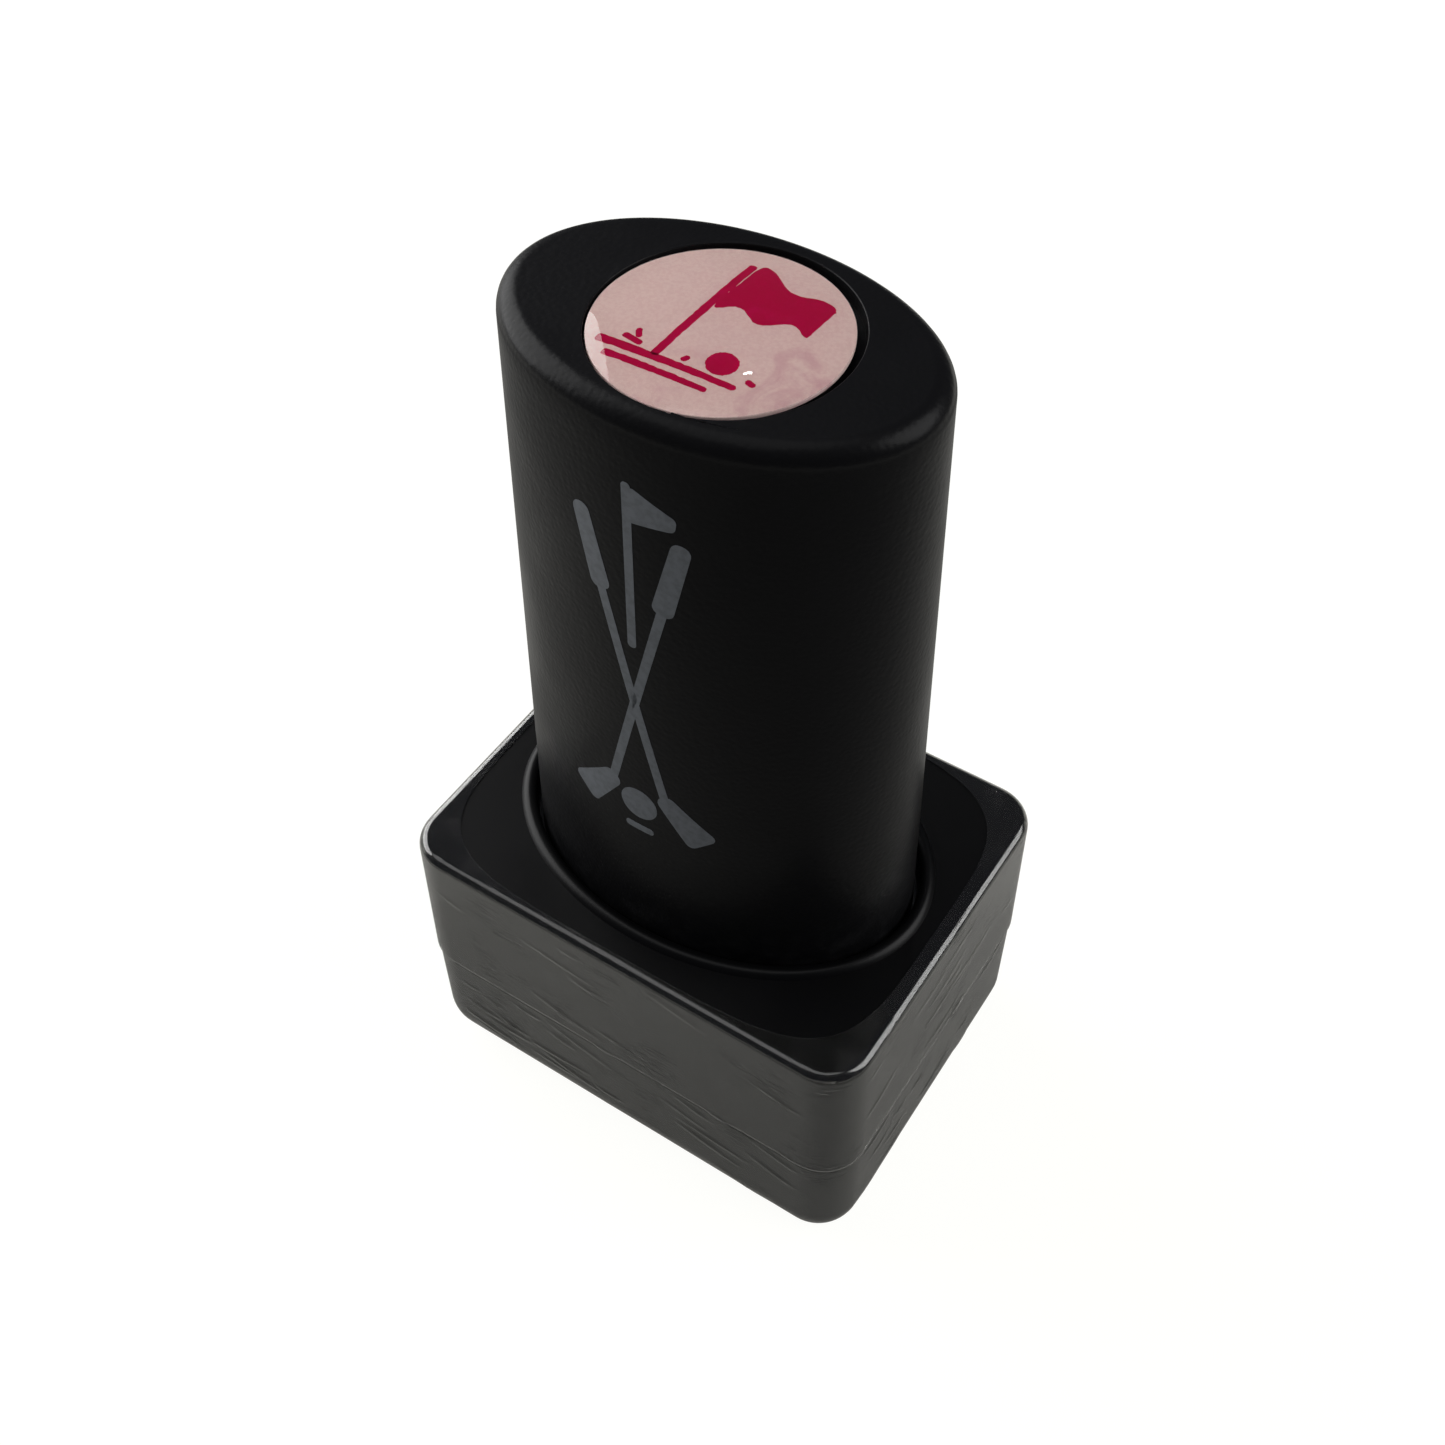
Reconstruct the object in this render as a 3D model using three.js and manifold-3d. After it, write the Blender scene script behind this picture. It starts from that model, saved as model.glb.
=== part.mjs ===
// Pre-inked golf ball marking stamp: an oval push handle that slides through a block-shaped base, a porous die
// under a sprung plunger, a pull-off dust cap and a shrink film band that is slit along the cap line.
// Millimetres, +Z up. The origin is the centre of the cap's underside, and the base's long side runs along X.
import * as THREE from "three";
import { mergeVertices } from "three/addons/utils/BufferGeometryUtils.js";
import Module from "manifold-3d";

const wasm = await Module();
wasm.setup();

// ---- Driving dimensions ----

// Base block, measured over the film
const BLOCK_LENGTH = 31.5;
const BLOCK_WIDTH = 24.1;
const BLOCK_TOP_Z = 20.25;
const BLOCK_CORNER_R = 2.7;
const FILM_THICKNESS = 0.15;
const FILM_CLEARANCE = 0.05;
const FILM_STACK = FILM_THICKNESS + FILM_CLEARANCE;

// Base housing: an open-bottomed shell, slightly wider at its open end
const HOUSING_LENGTH = BLOCK_LENGTH - 2 * FILM_STACK;
const HOUSING_WIDTH = BLOCK_WIDTH - 2 * FILM_STACK;
const HOUSING_TOP_Z = BLOCK_TOP_Z - FILM_STACK;
const HOUSING_BOTTOM_Z = 9.5;
const HOUSING_DRAFT = 0.16;
const HOUSING_EDGE_R = 0.5;
const HOUSING_WALL = 1.5;
const TOP_PLATE_THICKNESS = 1.75;
const TOP_PLATE_UNDERSIDE_Z = HOUSING_TOP_Z - TOP_PLATE_THICKNESS;
const CAVITY_LENGTH = HOUSING_LENGTH - 2 * HOUSING_WALL;
const CAVITY_WIDTH = HOUSING_WIDTH - 2 * HOUSING_WALL;
const CAVITY_CORNER_R = 1.6;

// Handle: a tapered oval tube, closed at the top
const HANDLE_A = 12.3;
const HANDLE_B = 8.57;
const HANDLE_TAPER = 0.99;
const HANDLE_TOP_Z = 57.3;
const HANDLE_EDGE_R = 1.1;
const HANDLE_WALL = 1.5;
const HANDLE_FOOT_Z = 18.2;
const HANDLE_HOLE_GAP = 0.28;
const COLLAR_WIDTH = 0.95;
const COLLAR_HEIGHT = 0.35;

// Round label under a clear dome, in a shallow recess a little off the handle's axis
const LABEL_X = 0.26;
const LABEL_Y = -0.37;
const LABEL_R = 6.05;
const LABEL_GAP = 0.22;
const RECESS_FLOOR_Z = 57.05;
const LABEL_THICKNESS = 0.2;
const DOME_EDGE_Z = 57.45;
const DOME_TOP_Z = 57.8;
const HANDLE_CEILING = 1.8;

// Dust cap: a tray that the foot of the stamp stands in
const CAP_RIM_Z = 9.35;
const CAP_BOTTOM_R = 3.0;
const CAP_FLOOR_Z = 1.8;
const CAP_INSET = 0.09;
const CAP_WALL = 1.27;
const LINER_TOP_Z = 2.5;
const FILM_LOWER_EDGE_Z = 0.5;
const FILM_SLIT = 0.05;

// Foot frame: the spigot inside the cap and the housing, which carries the springs and the ball rest
const FOOT_BOTTOM_Z = 3.0;
const FOOT_FLOOR_Z = 4.6;
const FOOT_STEP_Z = 9.45;
const FOOT_WALL_TOP_Z = 13.6;
const FOOT_COLUMN_TOP_Z = 11.1;
const FOOT_CAP_GAP = 0.15;
const FOOT_HOUSING_GAP = 0.1;
const FOOT_WALL = 1.2;
const BALL_HOLE_R = 7.7;
const CRADLE_SEAT_R = 9.5;
const CRADLE_TOP_Z = 3.95;

// Plunger stack
const PLUNGER_TRAVEL = 3.0;
const FLANGE_LENGTH = 27.2;
const FLANGE_WIDTH = 19.8;
const FLANGE_TOP_Z = 18.15;
const FLANGE_BOTTOM_Z = FOOT_WALL_TOP_Z + PLUNGER_TRAVEL + 0.1;
const STEM_LENGTH = 11;
const STEM_WIDTH = 5;
const STEM_BOTTOM_Z = 13.35;
const CORE_RIM_TOP_Z = 21;
const HOLDER_FOOT_Z = 9.8;
const HOLDER_PLATE_Z = 11.75;
const HOLDER_R = 8;
const PAD_R = 7.05;
const DIE_FACE_R = 6.5;
const DIE_FLANGE_R = 7.75;
const DIE_FACE_Z = 7.75;
const RELIEF_Z = 7.5;

// Fasteners and springs
const FRAME_SCREW_X = 12.0;
const FRAME_SCREW_Y = 8.3;
const CORE_SCREW_Y = 5.3;
const BOSS_R = 2.1;
const SPRING_X = 10.9;
const SPRING_MEAN_R = 1.5;
const SPRING_WIRE_R = 0.2;
const SPRING_TURNS = 6;

// Mesh fineness
const CORNER_STEPS = 5;
const EDGE_STEPS = 3;
const OVAL_STEPS = 60;
const ROUND_STEPS = 32;
const LABEL_STEPS = 48;
const DOME_STEPS = 5;
const SCREW_STEPS = 12;
const HOLE_STEPS = 16;
const SPRING_TURN_STEPS = 10;

// ---- Materials ----

const softTouchBlack = new THREE.MeshStandardMaterial({ color: 0x17171a, roughness: 0.55, metalness: 0 });
const mouldedBlack = new THREE.MeshStandardMaterial({ color: 0x101013, roughness: 0.42, metalness: 0 });
const innerGrey = new THREE.MeshStandardMaterial({ color: 0x4c4f54, roughness: 0.5, metalness: 0 });
const filmClear = new THREE.MeshStandardMaterial({ color: 0x8c8b88, roughness: 0.18, metalness: 0 });
const labelPink = new THREE.MeshStandardMaterial({ color: 0xe6cdd2, roughness: 0.5, metalness: 0 });
const domeClear = new THREE.MeshStandardMaterial({ color: 0xf6eff0, roughness: 0.05, metalness: 0 });
const springSteel = new THREE.MeshStandardMaterial({ color: 0xb9bcc0, roughness: 0.3, metalness: 1 });
const screwSteel = new THREE.MeshStandardMaterial({ color: 0x9ea1a6, roughness: 0.35, metalness: 1 });
const foamMagenta = new THREE.MeshStandardMaterial({ color: 0x8f1d4d, roughness: 0.8, metalness: 0 });
const padMagenta = new THREE.MeshStandardMaterial({ color: 0x6d1238, roughness: 0.95, metalness: 0 });
const rubberGrey = new THREE.MeshStandardMaterial({ color: 0x2b2c2e, roughness: 0.8, metalness: 0 });
const linerWhite = new THREE.MeshStandardMaterial({ color: 0xd9d7d0, roughness: 0.85, metalness: 0 });

// ---- Outlines and solids ----

// Points of a rounded rectangle, anticlockwise, each corner an arc
function roundedRectangle(length, width, corner) {
  const points = [];
  const centres = [
    [length / 2 - corner, width / 2 - corner],
    [corner - length / 2, width / 2 - corner],
    [corner - length / 2, corner - width / 2],
    [length / 2 - corner, corner - width / 2],
  ];
  centres.forEach(([x, y], quarter) => {
    for (let i = 0; i <= CORNER_STEPS; i++) {
      const angle = ((quarter + i / CORNER_STEPS) * Math.PI) / 2;
      points.push([x + corner * Math.cos(angle), y + corner * Math.sin(angle)]);
    }
  });
  return points;
}

// Points of an oval, which a power above 2 makes squarer
function oval(a, b, power = 2, steps = OVAL_STEPS) {
  const bend = (value) => Math.sign(value) * Math.abs(value) ** (2 / power);
  return Array.from({ length: steps }, (_, i) => {
    const angle = (2 * Math.PI * i) / steps;
    return [a * bend(Math.cos(angle)), b * bend(Math.sin(angle))];
  });
}

// A closed skin over outlines stacked upwards, each with the same number of points
function loft(rings) {
  const count = rings[0].points.length;
  const positions = rings.flatMap(({ z, points }) => points.flatMap(([x, y]) => [x, y, z]));
  const index = [];
  for (let ring = 0; ring + 1 < rings.length; ring++) {
    for (let i = 0; i < count; i++) {
      const next = (i + 1) % count;
      const [a, b] = [ring * count + i, ring * count + next];
      const [c, d] = [a + count, b + count];
      index.push(a, b, d, a, d, c);
    }
  }
  const bottomCentre = positions.length / 3;
  const topRow = (rings.length - 1) * count;
  positions.push(0, 0, rings[0].z, 0, 0, rings[rings.length - 1].z);
  for (let i = 0; i < count; i++) {
    const next = (i + 1) % count;
    index.push(bottomCentre, next, i, bottomCentre + 1, topRow + i, topRow + next);
  }
  const geometry = new THREE.BufferGeometry();
  geometry.setAttribute("position", new THREE.Float32BufferAttribute(positions, 3));
  geometry.setIndex(index);
  return geometry;
}

// A geometry as a solid that can be joined and cut
function solid(geometry) {
  const bare = geometry.clone();
  bare.deleteAttribute("normal");
  bare.deleteAttribute("uv");
  const merged = mergeVertices(bare, 1e-4);
  return new wasm.Manifold(
    new wasm.Mesh({
      numProp: 3,
      vertProperties: merged.attributes.position.array,
      triVerts: new Uint32Array(merged.index.array),
    }),
  );
}

const prism = (points, z0, z1) => solid(loft([{ z: z0, points }, { z: z1, points }]));

const block = (length, width, corner, z0, z1) => prism(roundedRectangle(length, width, corner), z0, z1);

// A solid of revolution about +Z from a closed profile of [radius, height] points, anticlockwise
function turned(profile, x = 0, y = 0, steps = ROUND_STEPS) {
  const closed = [...profile, profile[0]].map(([r, z]) => new THREE.Vector2(r, z));
  const geometry = new THREE.LatheGeometry(closed, steps);
  geometry.rotateX(Math.PI / 2);
  geometry.translate(x, y, 0);
  return solid(geometry);
}

const rod = (r, z0, z1, x = 0, y = 0, steps = HOLE_STEPS) =>
  turned([[0, z0], [r, z0], [r, z1], [0, z1]], x, y, steps);

// Positions at the four corners of a rectangle
const fourCorners = (x, y) => [[x, y], [-x, y], [-x, -y], [x, -y]];

const joined = (solids) => solids.reduce((whole, piece) => whole.add(piece));

const cutBy = (whole, tools) => tools.reduce((rest, tool) => rest.subtract(tool), whole);

// A solid as a named mesh
function piece(name, made, material) {
  const mesh = made.getMesh();
  const geometry = new THREE.BufferGeometry();
  geometry.setAttribute("position", new THREE.BufferAttribute(mesh.vertProperties, 3));
  geometry.setIndex(new THREE.BufferAttribute(mesh.triVerts, 1));
  geometry.computeVertexNormals();
  const result = new THREE.Mesh(geometry, material);
  result.name = name;
  return result;
}

// ---- Dust cap ----

// The cap's outside, grown evenly by `grow` for the film that is shrunk over it
function capOutside(grow, top) {
  const length = HOUSING_LENGTH + 2 * (HOUSING_DRAFT - CAP_INSET + grow);
  const width = HOUSING_WIDTH + 2 * (HOUSING_DRAFT - CAP_INSET + grow);
  const radius = CAP_BOTTOM_R + grow;
  const rings = [];
  for (let i = 0; i <= EDGE_STEPS; i++) {
    const angle = (i / EDGE_STEPS) * (Math.PI / 2);
    const inset = radius * (1 - Math.sin(angle));
    const corner = Math.max(BLOCK_CORNER_R + grow - 0.85 * inset, 0.35);
    const points = roundedRectangle(length - 2 * inset, width - 2 * inset, corner);
    rings.push({ z: CAP_BOTTOM_R - radius * Math.cos(angle), points });
  }
  rings.push({ z: top, points: rings[rings.length - 1].points });
  return solid(loft(rings));
}

const CAP_HOLLOW_LENGTH = HOUSING_LENGTH + 2 * (HOUSING_DRAFT - CAP_INSET - CAP_WALL);
const CAP_HOLLOW_WIDTH = HOUSING_WIDTH + 2 * (HOUSING_DRAFT - CAP_INSET - CAP_WALL);

function dustCap() {
  const hollow = block(CAP_HOLLOW_LENGTH, CAP_HOLLOW_WIDTH, CAVITY_CORNER_R, CAP_FLOOR_Z, CAP_RIM_Z + 1);
  return piece("dust_cap", capOutside(0, CAP_RIM_Z).subtract(hollow), mouldedBlack);
}

function capLiner() {
  const gap = 0.15;
  const length = CAP_HOLLOW_LENGTH - 2 * gap;
  const width = CAP_HOLLOW_WIDTH - 2 * gap;
  return piece("cap_liner", block(length, width, CAVITY_CORNER_R, CAP_FLOOR_Z, LINER_TOP_Z), linerWhite);
}

function shrinkFilmLower() {
  const top = CAP_RIM_Z - FILM_SLIT;
  const skin = capOutside(FILM_STACK, top).subtract(capOutside(FILM_CLEARANCE, top + 1));
  const below = block(2 * BLOCK_LENGTH, 2 * BLOCK_WIDTH, 1, -1, FILM_LOWER_EDGE_Z);
  return piece("shrink_film_lower", skin.subtract(below), filmClear);
}

// ---- Base housing ----

// The housing's outside, grown evenly by `grow` for the film
function housingOutside(grow, bottom) {
  const ring = (spread, z, corner) => ({
    z,
    points: roundedRectangle(HOUSING_LENGTH + 2 * spread, HOUSING_WIDTH + 2 * spread, corner),
  });
  const corner = BLOCK_CORNER_R + grow;
  const rings = [ring(HOUSING_DRAFT + grow, bottom, corner)];
  const radius = HOUSING_EDGE_R + grow;
  for (let i = 0; i <= EDGE_STEPS; i++) {
    const angle = (i / EDGE_STEPS) * (Math.PI / 2);
    const inset = radius * (1 - Math.cos(angle));
    rings.push(ring(grow - inset, HOUSING_TOP_Z - HOUSING_EDGE_R + radius * Math.sin(angle), corner - inset));
  }
  return solid(loft(rings));
}

// The low bead around the hole that the handle slides in
function collar() {
  const reach = HANDLE_HOLE_GAP + COLLAR_WIDTH;
  const rings = [{ z: HOUSING_TOP_Z - 0.3, points: oval(HANDLE_A + reach, HANDLE_B + reach) }];
  for (let i = 0; i <= EDGE_STEPS; i++) {
    const angle = (i / EDGE_STEPS) * (Math.PI / 2);
    const spread = reach - COLLAR_HEIGHT * (1 - Math.cos(angle));
    const points = oval(HANDLE_A + spread, HANDLE_B + spread);
    rings.push({ z: HOUSING_TOP_Z + COLLAR_HEIGHT * Math.sin(angle), points });
  }
  return solid(loft(rings));
}

function baseHousing() {
  const bossBottom = FOOT_COLUMN_TOP_Z + 0.1;
  const cavityTop = TOP_PLATE_UNDERSIDE_Z;
  const cavity = block(CAVITY_LENGTH, CAVITY_WIDTH, CAVITY_CORNER_R, HOUSING_BOTTOM_Z - 1, cavityTop);
  const hole = oval(HANDLE_A + HANDLE_HOLE_GAP, HANDLE_B + HANDLE_HOLE_GAP);
  const corners = fourCorners(FRAME_SCREW_X, FRAME_SCREW_Y);
  const bosses = corners.map(([x, y]) => rod(BOSS_R, bossBottom, cavityTop + 0.5, x, y));
  const pilots = corners.map(([x, y]) => rod(0.8, bossBottom - 1, cavityTop - 1.3, x, y));
  const shell = housingOutside(0, HOUSING_BOTTOM_Z).add(collar()).subtract(cavity);
  const body = cutBy(joined([shell, ...bosses]), [...pilots, prism(hole, cavityTop - 1, HOUSING_TOP_Z + 2)]);
  return piece("base_housing", body, mouldedBlack);
}

function shrinkFilmUpper() {
  const bottom = HOUSING_BOTTOM_Z + FILM_SLIT;
  const skin = housingOutside(FILM_STACK, bottom).subtract(housingOutside(FILM_CLEARANCE, bottom - 1));
  const opening = oval(BLOCK_LENGTH / 2 - 1.15, BLOCK_WIDTH / 2 - 0.8, 4.5);
  const cutter = prism(opening, HOUSING_TOP_Z - 2, BLOCK_TOP_Z + 1);
  return piece("shrink_film_upper", skin.subtract(cutter), filmClear);
}

// ---- Foot frame, ball rest and the screws that hold the frame in the housing ----

function footFrame() {
  const lowerLength = CAP_HOLLOW_LENGTH - 2 * FOOT_CAP_GAP;
  const lowerWidth = CAP_HOLLOW_WIDTH - 2 * FOOT_CAP_GAP;
  const upperLength = CAVITY_LENGTH - 2 * FOOT_HOUSING_GAP;
  const upperWidth = CAVITY_WIDTH - 2 * FOOT_HOUSING_GAP;
  const [innerLength, innerWidth] = [upperLength - 2 * FOOT_WALL, upperWidth - 2 * FOOT_WALL];
  const corner = CAVITY_CORNER_R - FOOT_HOUSING_GAP;
  const corners = fourCorners(FRAME_SCREW_X, FRAME_SCREW_Y);
  const outside = block(lowerLength, lowerWidth, corner, FOOT_BOTTOM_Z, FOOT_STEP_Z).add(
    block(upperLength, upperWidth, corner, FOOT_STEP_Z - 1, FOOT_WALL_TOP_Z),
  );
  const hollow = block(innerLength, innerWidth, 1, FOOT_FLOOR_Z, FOOT_WALL_TOP_Z + 1);
  const columnReach = FOOT_COLUMN_TOP_Z;
  const columns = corners.map(([x, y]) => rod(BOSS_R, FOOT_FLOOR_Z - 1, columnReach, x, y));
  const kept = block(upperLength, upperWidth, corner, 0, HOUSING_TOP_Z);
  const pins = [-1, 1].map((side) => rod(0.95, FOOT_FLOOR_Z - 0.5, FOOT_FLOOR_Z + 2, side * SPRING_X, 0));
  const bossRooms = corners.map(([x, y]) => rod(BOSS_R + 0.25, columnReach, HOUSING_TOP_Z, x, y));
  const screwHoles = corners.map(([x, y]) => rod(0.95, 0, columnReach + 1, x, y));
  const headHoles = corners.map(([x, y]) => rod(1.65, 0, FOOT_BOTTOM_Z + 1.4, x, y));
  const frame = joined([outside.subtract(hollow), joined(columns).intersect(kept), ...pins]);
  const mouth = [
    rod(BALL_HOLE_R, 0, FOOT_FLOOR_Z + 1, 0, 0, ROUND_STEPS),
    rod(CRADLE_SEAT_R, 0, CRADLE_TOP_Z, 0, 0, ROUND_STEPS),
  ];
  return piece("foot_frame", cutBy(frame, [...bossRooms, ...screwHoles, ...headHoles, ...mouth]), innerGrey);
}

// A soft ring whose inner face slopes to meet a 42.7 mm ball
function ballCradle() {
  const outer = CRADLE_SEAT_R - 0.1;
  const top = CRADLE_TOP_Z - 0.05;
  const bottom = FOOT_BOTTOM_Z - 0.2;
  const profile = [[outer, bottom], [outer, top], [7.9, top], [7.9, bottom + 0.55], [9.1, bottom]];
  return piece("ball_cradle", turned(profile), rubberGrey);
}

// A pan-head screw driven upwards, with a cross recess in its head
function screw(name, x, y, headBottom, headR, shankR, tip) {
  const headHeight = 1.15;
  const headTop = headBottom + headHeight;
  const profile = [
    [0, headBottom],
    [headR * 0.7, headBottom],
    [headR, headBottom + 0.45],
    [headR, headTop],
    [shankR, headTop],
    [shankR, tip - 1],
    [shankR * 0.3, tip],
    [0, tip],
  ];
  const slot = (length, width) => block(length, width, 0.1, headBottom - 1, headBottom + 0.6);
  const cross = slot(headR * 1.3, 0.4).add(slot(0.4, headR * 1.3)).translate([x, y, 0]);
  return piece(name, turned(profile, x, y, SCREW_STEPS).subtract(cross), screwSteel);
}

function frameScrews() {
  return fourCorners(FRAME_SCREW_X, FRAME_SCREW_Y).map(([x, y], i) =>
    screw("frame_screw_" + (i + 1), x, y, FOOT_BOTTOM_Z + 0.15, 1.5, 0.7, TOP_PLATE_UNDERSIDE_Z - 2),
  );
}

// A compression spring between the foot frame's floor and the plunger's flange
function returnSpring(name, x) {
  const bottom = FOOT_FLOOR_Z + 0.05 + SPRING_WIRE_R;
  const top = FLANGE_BOTTOM_Z - 0.05 - SPRING_WIRE_R;
  const steps = SPRING_TURNS * SPRING_TURN_STEPS;
  const points = Array.from({ length: steps + 1 }, (_, i) => {
    const angle = (i / SPRING_TURN_STEPS) * 2 * Math.PI;
    const z = bottom + ((top - bottom) * i) / steps;
    return new THREE.Vector3(x + SPRING_MEAN_R * Math.cos(angle), SPRING_MEAN_R * Math.sin(angle), z);
  });
  const wire = new THREE.Shape();
  wire.absarc(0, 0, SPRING_WIRE_R, 0, 2 * Math.PI);
  const extrudePath = new THREE.CatmullRomCurve3(points);
  const sweep = { steps, curveSegments: 3, bevelEnabled: false, extrudePath };
  const geometry = new THREE.ExtrudeGeometry(wire, sweep);
  return piece(name, solid(geometry), springSteel);
}

// ---- Handle and plunger ----

// Half-axes of the handle shrink evenly with height
const taperAt = (z) => (-HANDLE_TAPER * (z - HOUSING_TOP_Z)) / (HANDLE_TOP_Z - HOUSING_TOP_Z);

function handleRing(z, spread) {
  const change = taperAt(z) + spread;
  return { z, points: oval(HANDLE_A + change, HANDLE_B + change) };
}

function handleShell() {
  const edgeZ = HANDLE_TOP_Z - HANDLE_EDGE_R;
  const rings = [handleRing(HANDLE_FOOT_Z, 0)];
  for (let i = 0; i <= EDGE_STEPS; i++) {
    const angle = (i / EDGE_STEPS) * (Math.PI / 2);
    rings.push(handleRing(edgeZ + HANDLE_EDGE_R * Math.sin(angle), HANDLE_EDGE_R * (Math.cos(angle) - 1)));
  }
  const inside = [
    handleRing(HANDLE_FOOT_Z - 1, -HANDLE_WALL),
    handleRing(RECESS_FLOOR_Z - HANDLE_CEILING, -HANDLE_WALL),
  ];
  const bossZ = [HANDLE_FOOT_Z, HANDLE_FOOT_Z + 10];
  const envelope = solid(loft([handleRing(HANDLE_FOOT_Z, -0.5), handleRing(HANDLE_TOP_Z - 2, -0.5)]));
  const bosses = [-1, 1].map((side) => rod(BOSS_R, ...bossZ, 0, side * CORE_SCREW_Y).intersect(envelope));
  const pilots = [-1, 1].map((side) => rod(0.9, HANDLE_FOOT_Z - 1, HANDLE_FOOT_Z + 9, 0, side * CORE_SCREW_Y));
  const recess = rod(LABEL_R + LABEL_GAP, RECESS_FLOOR_Z, HANDLE_TOP_Z + 1, LABEL_X, LABEL_Y, LABEL_STEPS);
  const tube = solid(loft(rings)).subtract(solid(loft(inside)));
  return piece("handle_shell", cutBy(joined([tube, ...bosses]), [...pilots, recess]), softTouchBlack);
}

function labelDisc() {
  const disc = rod(LABEL_R, RECESS_FLOOR_Z, RECESS_FLOOR_Z + LABEL_THICKNESS, LABEL_X, LABEL_Y, LABEL_STEPS);
  return piece("label_disc", disc, labelPink);
}

function labelDome() {
  const bottom = RECESS_FLOOR_Z + LABEL_THICKNESS + 0.02;
  const profile = [[0, bottom], [LABEL_R, bottom]];
  const rise = DOME_TOP_Z - DOME_EDGE_Z;
  for (let i = 0; i <= DOME_STEPS; i++) {
    const share = 1 - i / DOME_STEPS;
    profile.push([LABEL_R * share, DOME_EDGE_Z + rise * (1 - share ** 3)]);
  }
  return piece("label_dome", turned(profile, LABEL_X, LABEL_Y, LABEL_STEPS), domeClear);
}

function plungerCore() {
  const corners = fourCorners(FRAME_SCREW_X, FRAME_SCREW_Y);
  const flange = block(FLANGE_LENGTH, FLANGE_WIDTH, 2, FLANGE_BOTTOM_Z, FLANGE_TOP_Z);
  const insideHandle = (gap) => oval(HANDLE_A - HANDLE_WALL - gap, HANDLE_B - HANDLE_WALL - gap);
  const rim = prism(insideHandle(0.2), FLANGE_TOP_Z - 0.5, CORE_RIM_TOP_Z).subtract(
    prism(insideHandle(1.3), FLANGE_TOP_Z, CORE_RIM_TOP_Z + 1),
  );
  const stem = block(STEM_LENGTH, STEM_WIDTH, 1, STEM_BOTTOM_Z, FLANGE_TOP_Z - 0.5);
  const pins = [-1, 1].map((side) => rod(0.95, FLANGE_BOTTOM_Z - 1.3, FLANGE_TOP_Z - 0.5, side * SPRING_X, 0));
  const notches = corners.map(([x, y]) => rod(BOSS_R + 0.35, 0, HANDLE_TOP_Z, x, y));
  const sides = [-1, 1];
  const bossRooms = sides.map((side) => rod(BOSS_R + 0.3, FLANGE_TOP_Z, HANDLE_TOP_Z, 0, side * CORE_SCREW_Y));
  const screwHoles = sides.map((side) => rod(0.95, 0, HANDLE_TOP_Z, 0, side * CORE_SCREW_Y));
  const core = cutBy(joined([flange, rim, stem, ...pins]), [...notches, ...bossRooms, ...screwHoles]);
  return piece("plunger_core", core, innerGrey);
}

function coreScrews() {
  return [-1, 1].map((side, i) =>
    screw(
      "core_screw_" + (i + 1),
      0,
      side * CORE_SCREW_Y,
      FLANGE_BOTTOM_Z - 1.17,
      1.6,
      0.75,
      HANDLE_FOOT_Z + 7,
    ),
  );
}

// A cup over the ink pad, with a socket that clips round the plunger's stem
function dieHolder() {
  const plateBottom = HOLDER_PLATE_Z;
  const plateTop = STEM_BOTTOM_Z - 0.1;
  const socketTop = 15.2;
  const cup = turned([
    [0, plateBottom],
    [PAD_R + 0.1, plateBottom],
    [PAD_R + 0.1, HOLDER_FOOT_Z],
    [HOLDER_R, HOLDER_FOOT_Z],
    [HOLDER_R, plateTop],
    [0, plateTop],
  ]);
  const socket = block(STEM_LENGTH + 2.3, STEM_WIDTH + 2.3, 1.5, plateTop - 0.5, socketTop).subtract(
    block(STEM_LENGTH + 0.3, STEM_WIDTH + 0.3, 1, plateTop, socketTop + 1),
  );
  return piece("die_holder", cup.add(socket), innerGrey);
}

function inkPad() {
  const [bottom, top, edge] = [HOLDER_FOOT_Z, HOLDER_PLATE_Z - 0.05, 0.15];
  const profile = [
    [0, bottom],
    [PAD_R - edge, bottom],
    [PAD_R, bottom + edge],
    [PAD_R, top - edge],
    [PAD_R - edge, top],
    [0, top],
  ];
  return piece("ink_pad", turned(profile), padMagenta);
}

// Porous die with a raised border, flagstick, pennant and green
function stampDie() {
  const [stepZ, topZ] = [8.9, HOLDER_FOOT_Z - 0.1];
  const flange = [
    [0, DIE_FACE_Z],
    [DIE_FACE_R, DIE_FACE_Z],
    [DIE_FACE_R, stepZ],
    [DIE_FLANGE_R, stepZ],
    [DIE_FLANGE_R, topZ],
    [0, topZ],
  ];
  const into = DIE_FACE_Z + 0.2;
  const border = turned([[5.5, RELIEF_Z], [6.1, RELIEF_Z], [6.1, into], [5.5, into]]);
  const pole = block(0.5, 7.4, 0.1, RELIEF_Z, into).translate([1.2, 0.4, 0]);
  const pennant = prism([[1.2, 4.1], [-2.9, 2.9], [1.2, 1.5]], RELIEF_Z, into);
  const green = prism(oval(3.6, 0.9, 2, 32), RELIEF_Z, into).translate([0, -3.3, 0]);
  return piece("stamp_die", joined([turned(flange), border, pole, pennant, green]), foamMagenta);
}

function dieFrame() {
  const profile = [[6.65, 8.2], [8.8, 8.2], [8.8, 11.4], [8.15, 11.4], [8.15, 8.85], [6.65, 8.85]];
  return piece("die_frame", turned(profile), innerGrey);
}

// ---- Assembly ----
// The cap stands on the ground, the housing lifts out of it, and the handle slides in the housing.

const handle = new THREE.Group();
handle.add(handleShell(), labelDisc(), labelDome(), plungerCore(), ...coreScrews());
handle.add(dieHolder(), inkPad(), stampDie(), dieFrame());

const housing = new THREE.Group();
housing.add(baseHousing(), shrinkFilmUpper(), footFrame(), ballCradle(), ...frameScrews());
housing.add(returnSpring("return_spring_left", -SPRING_X), returnSpring("return_spring_right", SPRING_X));

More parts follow.
